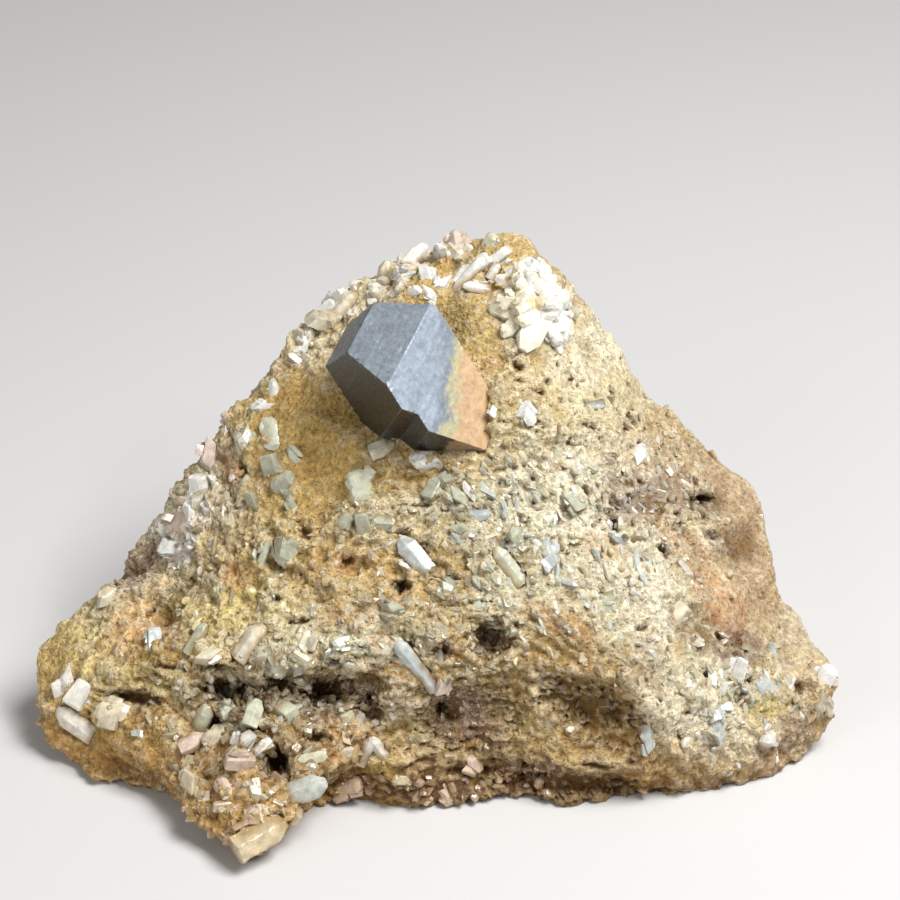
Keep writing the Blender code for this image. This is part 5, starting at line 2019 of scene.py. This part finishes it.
@dataclass(frozen=True)
class AnataseCrystal:
    """The steel-grey bipyramid, with its rust-stained foot.

    Its lengths are measured from its middle, which is a pixel of the photograph, and the stain's
    edge is a line of such pixels from the top down.
    """

    node: str = "anatase_crystal"
    middle: tuple[float, float] = (395.0, 363.3)
    toward: float = 1.4 * MM
    heading: float = math.radians(150.8)
    tip_forward: float = math.radians(4.6)
    roll: float = math.radians(25.9)
    half_width: float = 6.6 * MM
    tip: float = 6.4 * MM
    tip_height: float = 6.2 * MM
    tip_depth: float = 2.86 * MM
    tip_lean: float = math.radians(10.0)
    foot: float = 12.8 * MM
    slice_step: float = 0.13 * MM
    side_step: float = 0.4 * MM
    line_spacing: float = 0.34 * MM
    striation: float = 0.018 * MM
    pitting: float = 0.03 * MM
    chipping: float = 0.1 * MM
    sharp: float = math.radians(15.0)
    stain_edge: tuple[tuple[float, float], ...] = (
        (462, 340), (462, 353), (460, 375), (459, 394), (457, 421), (450, 441), (440, 452),
    )

    def build(self) -> bpy.types.Object:
        """Makes the crystal's piece.

        Returns:
            The piece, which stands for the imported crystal.
        """
        piece = copy_of_node(self.node, "anatase_skin")
        own = self._frame()
        piece.data.transform(own.inverted())
        self._slice(piece)
        worn = self._roughen(piece)
        piece.data.transform(own)
        self._paint(piece, own, worn)
        shade(piece, 22.0)
        piece.data.materials.append(AnataseFinish().material())
        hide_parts(self.node)
        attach(piece, BODY)
        return piece

    def _frame(self) -> Matrix:
        """The crystal's own axes and middle.

        Returns:
            The side, the facing and the length as columns, with the middle as the offset.
        """
        flat = SIGHT.right * math.cos(self.heading) + SIGHT.up * math.sin(self.heading)
        axis = flat * math.cos(self.tip_forward) + SIGHT.toward * math.sin(self.tip_forward)
        facing = (SIGHT.toward - axis * SIGHT.toward.dot(axis)).normalized()
        facing = Matrix.Rotation(self.roll, 3, axis) @ facing
        turn = Matrix((facing.cross(axis), facing, axis)).transposed().to_4x4()
        reach = (SIGHT.distance - self.toward) / -SIGHT.line(*self.middle).dot(SIGHT.toward)
        return Matrix.Translation(SIGHT.eye + SIGHT.line(*self.middle) * reach) @ turn

    def _slice(self, piece: bpy.types.Object) -> None:
        """Cuts the flat tip, which leans forward, and then the faces into small ones.

        Args:
            piece: the crystal, in its own frame.
        """
        with editing(piece):
            bpy.ops.mesh.select_all(action="SELECT")
            bpy.ops.mesh.dissolve_limited(angle_limit=math.radians(1.0))
            bpy.ops.mesh.select_all(action="SELECT")
            bpy.ops.mesh.bisect(
                plane_co=(0.0, -self.tip_depth, self.tip_height),
                plane_no=(0.0, math.sin(self.tip_lean), math.cos(self.tip_lean)),
                use_fill=True, clear_outer=True, threshold=SNAP,
            )
        slice_faces(piece, (
            ((0.0, 0.0, 1.0), -self.foot, self.tip, self.slice_step),
            ((1.0, 0.0, 0.0), -self.half_width, self.half_width, self.side_step),
            ((0.0, 1.0, 0.0), -self.half_width, self.half_width, self.side_step),
        ))

    def _roughen(self, piece: bpy.types.Object) -> Array:
        """Chips the edges, and works growth lines and pits into the faces.

        Args:
            piece: the crystal, in its own frame.

        Returns:
            How worn each vertex is, from 0 to 1.
        """
        places = vertex_places(piece)
        normals = vertex_normals(piece)
        worn = self._chip_edges(piece, places, normals)
        lower = smoothstep(0.1 * MM, -0.3 * MM, places[:, 2])
        drift = 0.15 * MM * soft_noise(places, 2.5 * MM, 5.0)
        level = (places[:, 2] + drift) / self.line_spacing
        lines = np.array([noise.noise((value, 0.5, 0.5)) for value in level.tolist()])
        height = self.striation * lines * (0.3 + 0.7 * lower)
        height -= self.pitting * smoothstep(0.35, 0.6, soft_noise(places, 0.6 * MM, 15.0))
        move_vertices(piece, places + normals * height[:, None])
        return worn

    def _chip_edges(self, piece: bpy.types.Object, places: Array, normals: Array) -> Array:
        """Chips the sharp edges here and there.

        Args:
            piece: the crystal.
            places: the places of its vertices, which are changed.
            normals: the outward directions at its vertices.

        Returns:
            How worn each vertex is, from 0 to 1.
        """
        faces: dict[tuple[int, int], list[Vector]] = {}
        for face in piece.data.polygons:
            for key in face.edge_keys:
                faces.setdefault(key, []).append(face.normal)
        edge = np.array(sorted({
            corner for key, pair in faces.items()
            if len(pair) == 2 and pair[0].angle(pair[1], 0.0) > self.sharp for corner in key
        }))
        chipped = 0.25 + np.maximum(0.0, soft_noise(places[edge], 0.45 * MM, 25.0) * 2.2)
        places[edge] -= normals[edge] * (chipped * self.chipping * 0.6)[:, None]
        worn = np.zeros(len(places))
        worn[edge] = np.clip(chipped, 0.0, 1.0)
        return worn

    def _paint(self, piece: bpy.types.Object, own: Matrix, worn: Array) -> None:
        """Paints the faces, with painted reflection and shade by how each is turned: steel and pale steel
        towards the viewer, darker on the flat tip, near black below; a painted highlight on the chipped
        edges; rust at the foot.

        Args:
            piece: the crystal, in its place.
            own: its own axes and middle.
            worn: how chipped each vertex is, which sets the painted highlight on the edges.
        """
        places = vertex_places(piece)
        corner = corner_vertices(piece)
        axes = np.array(own.to_3x3())
        normals = np.repeat(face_normals(piece) @ axes, face_sizes(piece), axis=0)
        # Painted reflection and shade: each face takes steel, pale steel, a darker steel or near black by
        # the way it is turned
        colours = np.where(
            normals[:, 2:] > 0.12, Tone.STEEL.linear(), Tone.PALE_STEEL.linear()
        )
        colours = np.where(normals[:, 2:] > 0.8, Tone.STEEL.linear() * 0.3, colours)
        colours = np.where(normals[:, :1] > 0.4, Tone.GRAPHITE.linear(), colours)
        local = (places - np.array(own.translation)) @ axes
        mottle = soft_noise(local, 1.3 * MM, 35.0) + 0.7 * soft_noise(local, 0.5 * MM, 45.0)
        streaks = soft_noise(local * np.array((0.25, 0.25, 2.2)), 0.8 * MM, 55.0)
        colours = colours * (1.0 + 0.2 * mottle + 0.07 * streaks)[corner][:, None]
        # Painted highlight along the chipped edges
        chip_highlight = 0.4 * worn[corner][:, None]
        colours += (Tone.PALE_STEEL.linear() * 1.3 - colours) * chip_highlight
        self._rust(colours, places, corner, normals)
        paint(piece, colours, "CORNER")

    def _rust(self, colours: Array, places: Array, corner: Array, normals: Array) -> None:
        """Lays the rust stain over the foot, with a dull and a pale band along its edge.

        Args:
            colours: the colour at each corner of the faces, which is changed.
            places: the places of the vertices.
            corner: the vertex at each corner.
            normals: the face's outward direction at each corner, in the crystal's own axes.
        """
        pixels = SIGHT.pixels(places)
        across, down = np.array(self.stain_edge).T
        past = pixels[:, 0] - np.interp(pixels[:, 1], down, across)
        past += 7.0 * soft_noise(places, 1.4 * MM, 65.0) + 5.0 * soft_noise(places, 0.45 * MM, 75.0)
        past = past[corner][:, None]
        seen = smoothstep(-0.1, 0.3, normals @ np.array((-0.3, 1.0, 0.0)))[:, None]
        dull = 0.5 * smoothstep(-26.0, -15.0, past)
        pale = 0.8 * smoothstep(-14.0, -6.0, past)
        rust = smoothstep(-2.0, 4.0, past)
        patchy = (0.9 + 0.2 * soft_noise(places, 0.9 * MM, 85.0))[corner][:, None]
        colours += (Tone.SLATE.linear() - colours) * dull * seen
        colours += (Tone.STAIN_EDGE.linear() - colours) * pale * seen
        colours += (Tone.STAIN.linear() * patchy - colours) * rust * (0.45 + 0.55 * seen)


@dataclass(frozen=True)
class Lamp:
    """A square soft lamp that faces the specimen."""

    name: str
    place: tuple[float, float, float]
    size: float
    power: float

    def hang(self) -> None:
        """Puts the lamp in the scene."""
        data = bpy.data.lights.new(self.name, "AREA")
        data.size = self.size
        data.energy = self.power
        lamp = bpy.data.objects.new(self.name, data)
        lamp.location = self.place
        facing = Vector(self.place) - Vector(SIGHT.target)
        lamp.rotation_euler = facing.to_track_quat("Z", "Y").to_euler()
        bpy.context.scene.collection.objects.link(lamp)


@dataclass(frozen=True)
class Studio:
    """Pale floor and soft light."""

    floor_size: float = 6.0
    floor_colour: tuple[float, float, float, float] = (0.6, 0.59, 0.58, 1.0)
    floor_roughness: float = 0.8
    sky_colour: tuple[float, float, float, float] = (0.98, 0.99, 1.0, 1.0)
    sky_strength: float = 0.195
    lamps: tuple[Lamp, ...] = (
        Lamp("key", (0.18, -0.08, 0.40), 0.2, 2.6),
        Lamp("fill", (-0.32, -0.34, 0.24), 0.3, 0.72),
        Lamp("glint", (0.20, -0.22, 0.32), 0.04, 0.16),
    )

    def build(self) -> None:
        """Makes the floor, the lights and the camera."""
        self._floor()
        self._sky()
        for lamp in self.lamps:
            lamp.hang()
        bpy.context.scene.camera = SIGHT.camera()
        bpy.context.scene.view_settings.view_transform = "Standard"

    def _floor(self) -> None:
        """Lays a wide pale floor."""
        floor = add_form(bpy.ops.mesh.primitive_plane_add, size=self.floor_size)
        floor.name = "floor"
        made = bpy.data.materials.new("floor_surface")
        made.use_nodes = True
        shader = made.node_tree.nodes["Principled BSDF"]
        shader.inputs["Base Color"].default_value = self.floor_colour
        shader.inputs["Roughness"].default_value = self.floor_roughness
        floor.data.materials.append(made)

    def _sky(self) -> None:
        """Adds soft light from all round."""
        world = bpy.data.worlds.new("studio")
        world.use_nodes = True
        sky = world.node_tree.nodes["Background"]
        sky.inputs["Color"].default_value = self.sky_colour
        sky.inputs["Strength"].default_value = self.sky_strength
        bpy.context.scene.world = world


def report(piece: bpy.types.Object) -> None:
    """Says that a piece is built, and how many faces it has."""
    log.info("%s has %d faces", piece.name, len(piece.data.polygons))


def main() -> None:
    """Builds every piece in order."""
    logging.basicConfig(level=logging.INFO, format="%(message)s")
    skin = MatrixRock().build()
    report(skin)
    ground = Ground(skin)
    ground.roughness = 1.0 - WORN_LOSS * strength(WORN, ground, ground.centres)
    shapes = Moulds().all()
    crystal = CrystalFinish().material()
    grain = RockFinish(name="grain_surface").material()
    report(AnataseCrystal().build())
    for loose in LOOSE_CRYSTALS:
        report(loose.build(ground, crystal))
    tuft = WhiteTuft().build(ground, crystal)
    report(tuft)
    tuft_crystals = Swarm("tuft_crystals", "white_crystal", crystal, 4, 0.25)
    report(cover(tuft_crystals, TUFT_BEDS, Ground(tuft), shapes))
    white = Swarm("set_white_crystals", "white_crystal", crystal, 5, 0.5)
    green = Swarm("set_green_crystals", "green_crystal", crystal, 6)
    for tone, prisms in SET_CRYSTALS.items():
        Clusters().lay(prisms, tone, ground, green if tone in GREEN_TONES else white, shapes)
    report(white.join())
    report(green.join())
    for swarm, beds in (
        (Swarm("small_laths", "green_crystal", crystal, 1), LATH_BEDS),
        (Swarm("small_blocks", "white_crystal", crystal, 2), BLOCK_BEDS),
        (Swarm("cavity_druse", "brown_crystal", crystal, 7), DRUSE_BEDS),
        (Swarm("sand_grains", "matrix_rock", grain, 3), GRAIN_BEDS),
    ):
        report(cover(swarm, beds, ground, shapes))
    Studio().build()


if __name__ == "__main__":
    main()
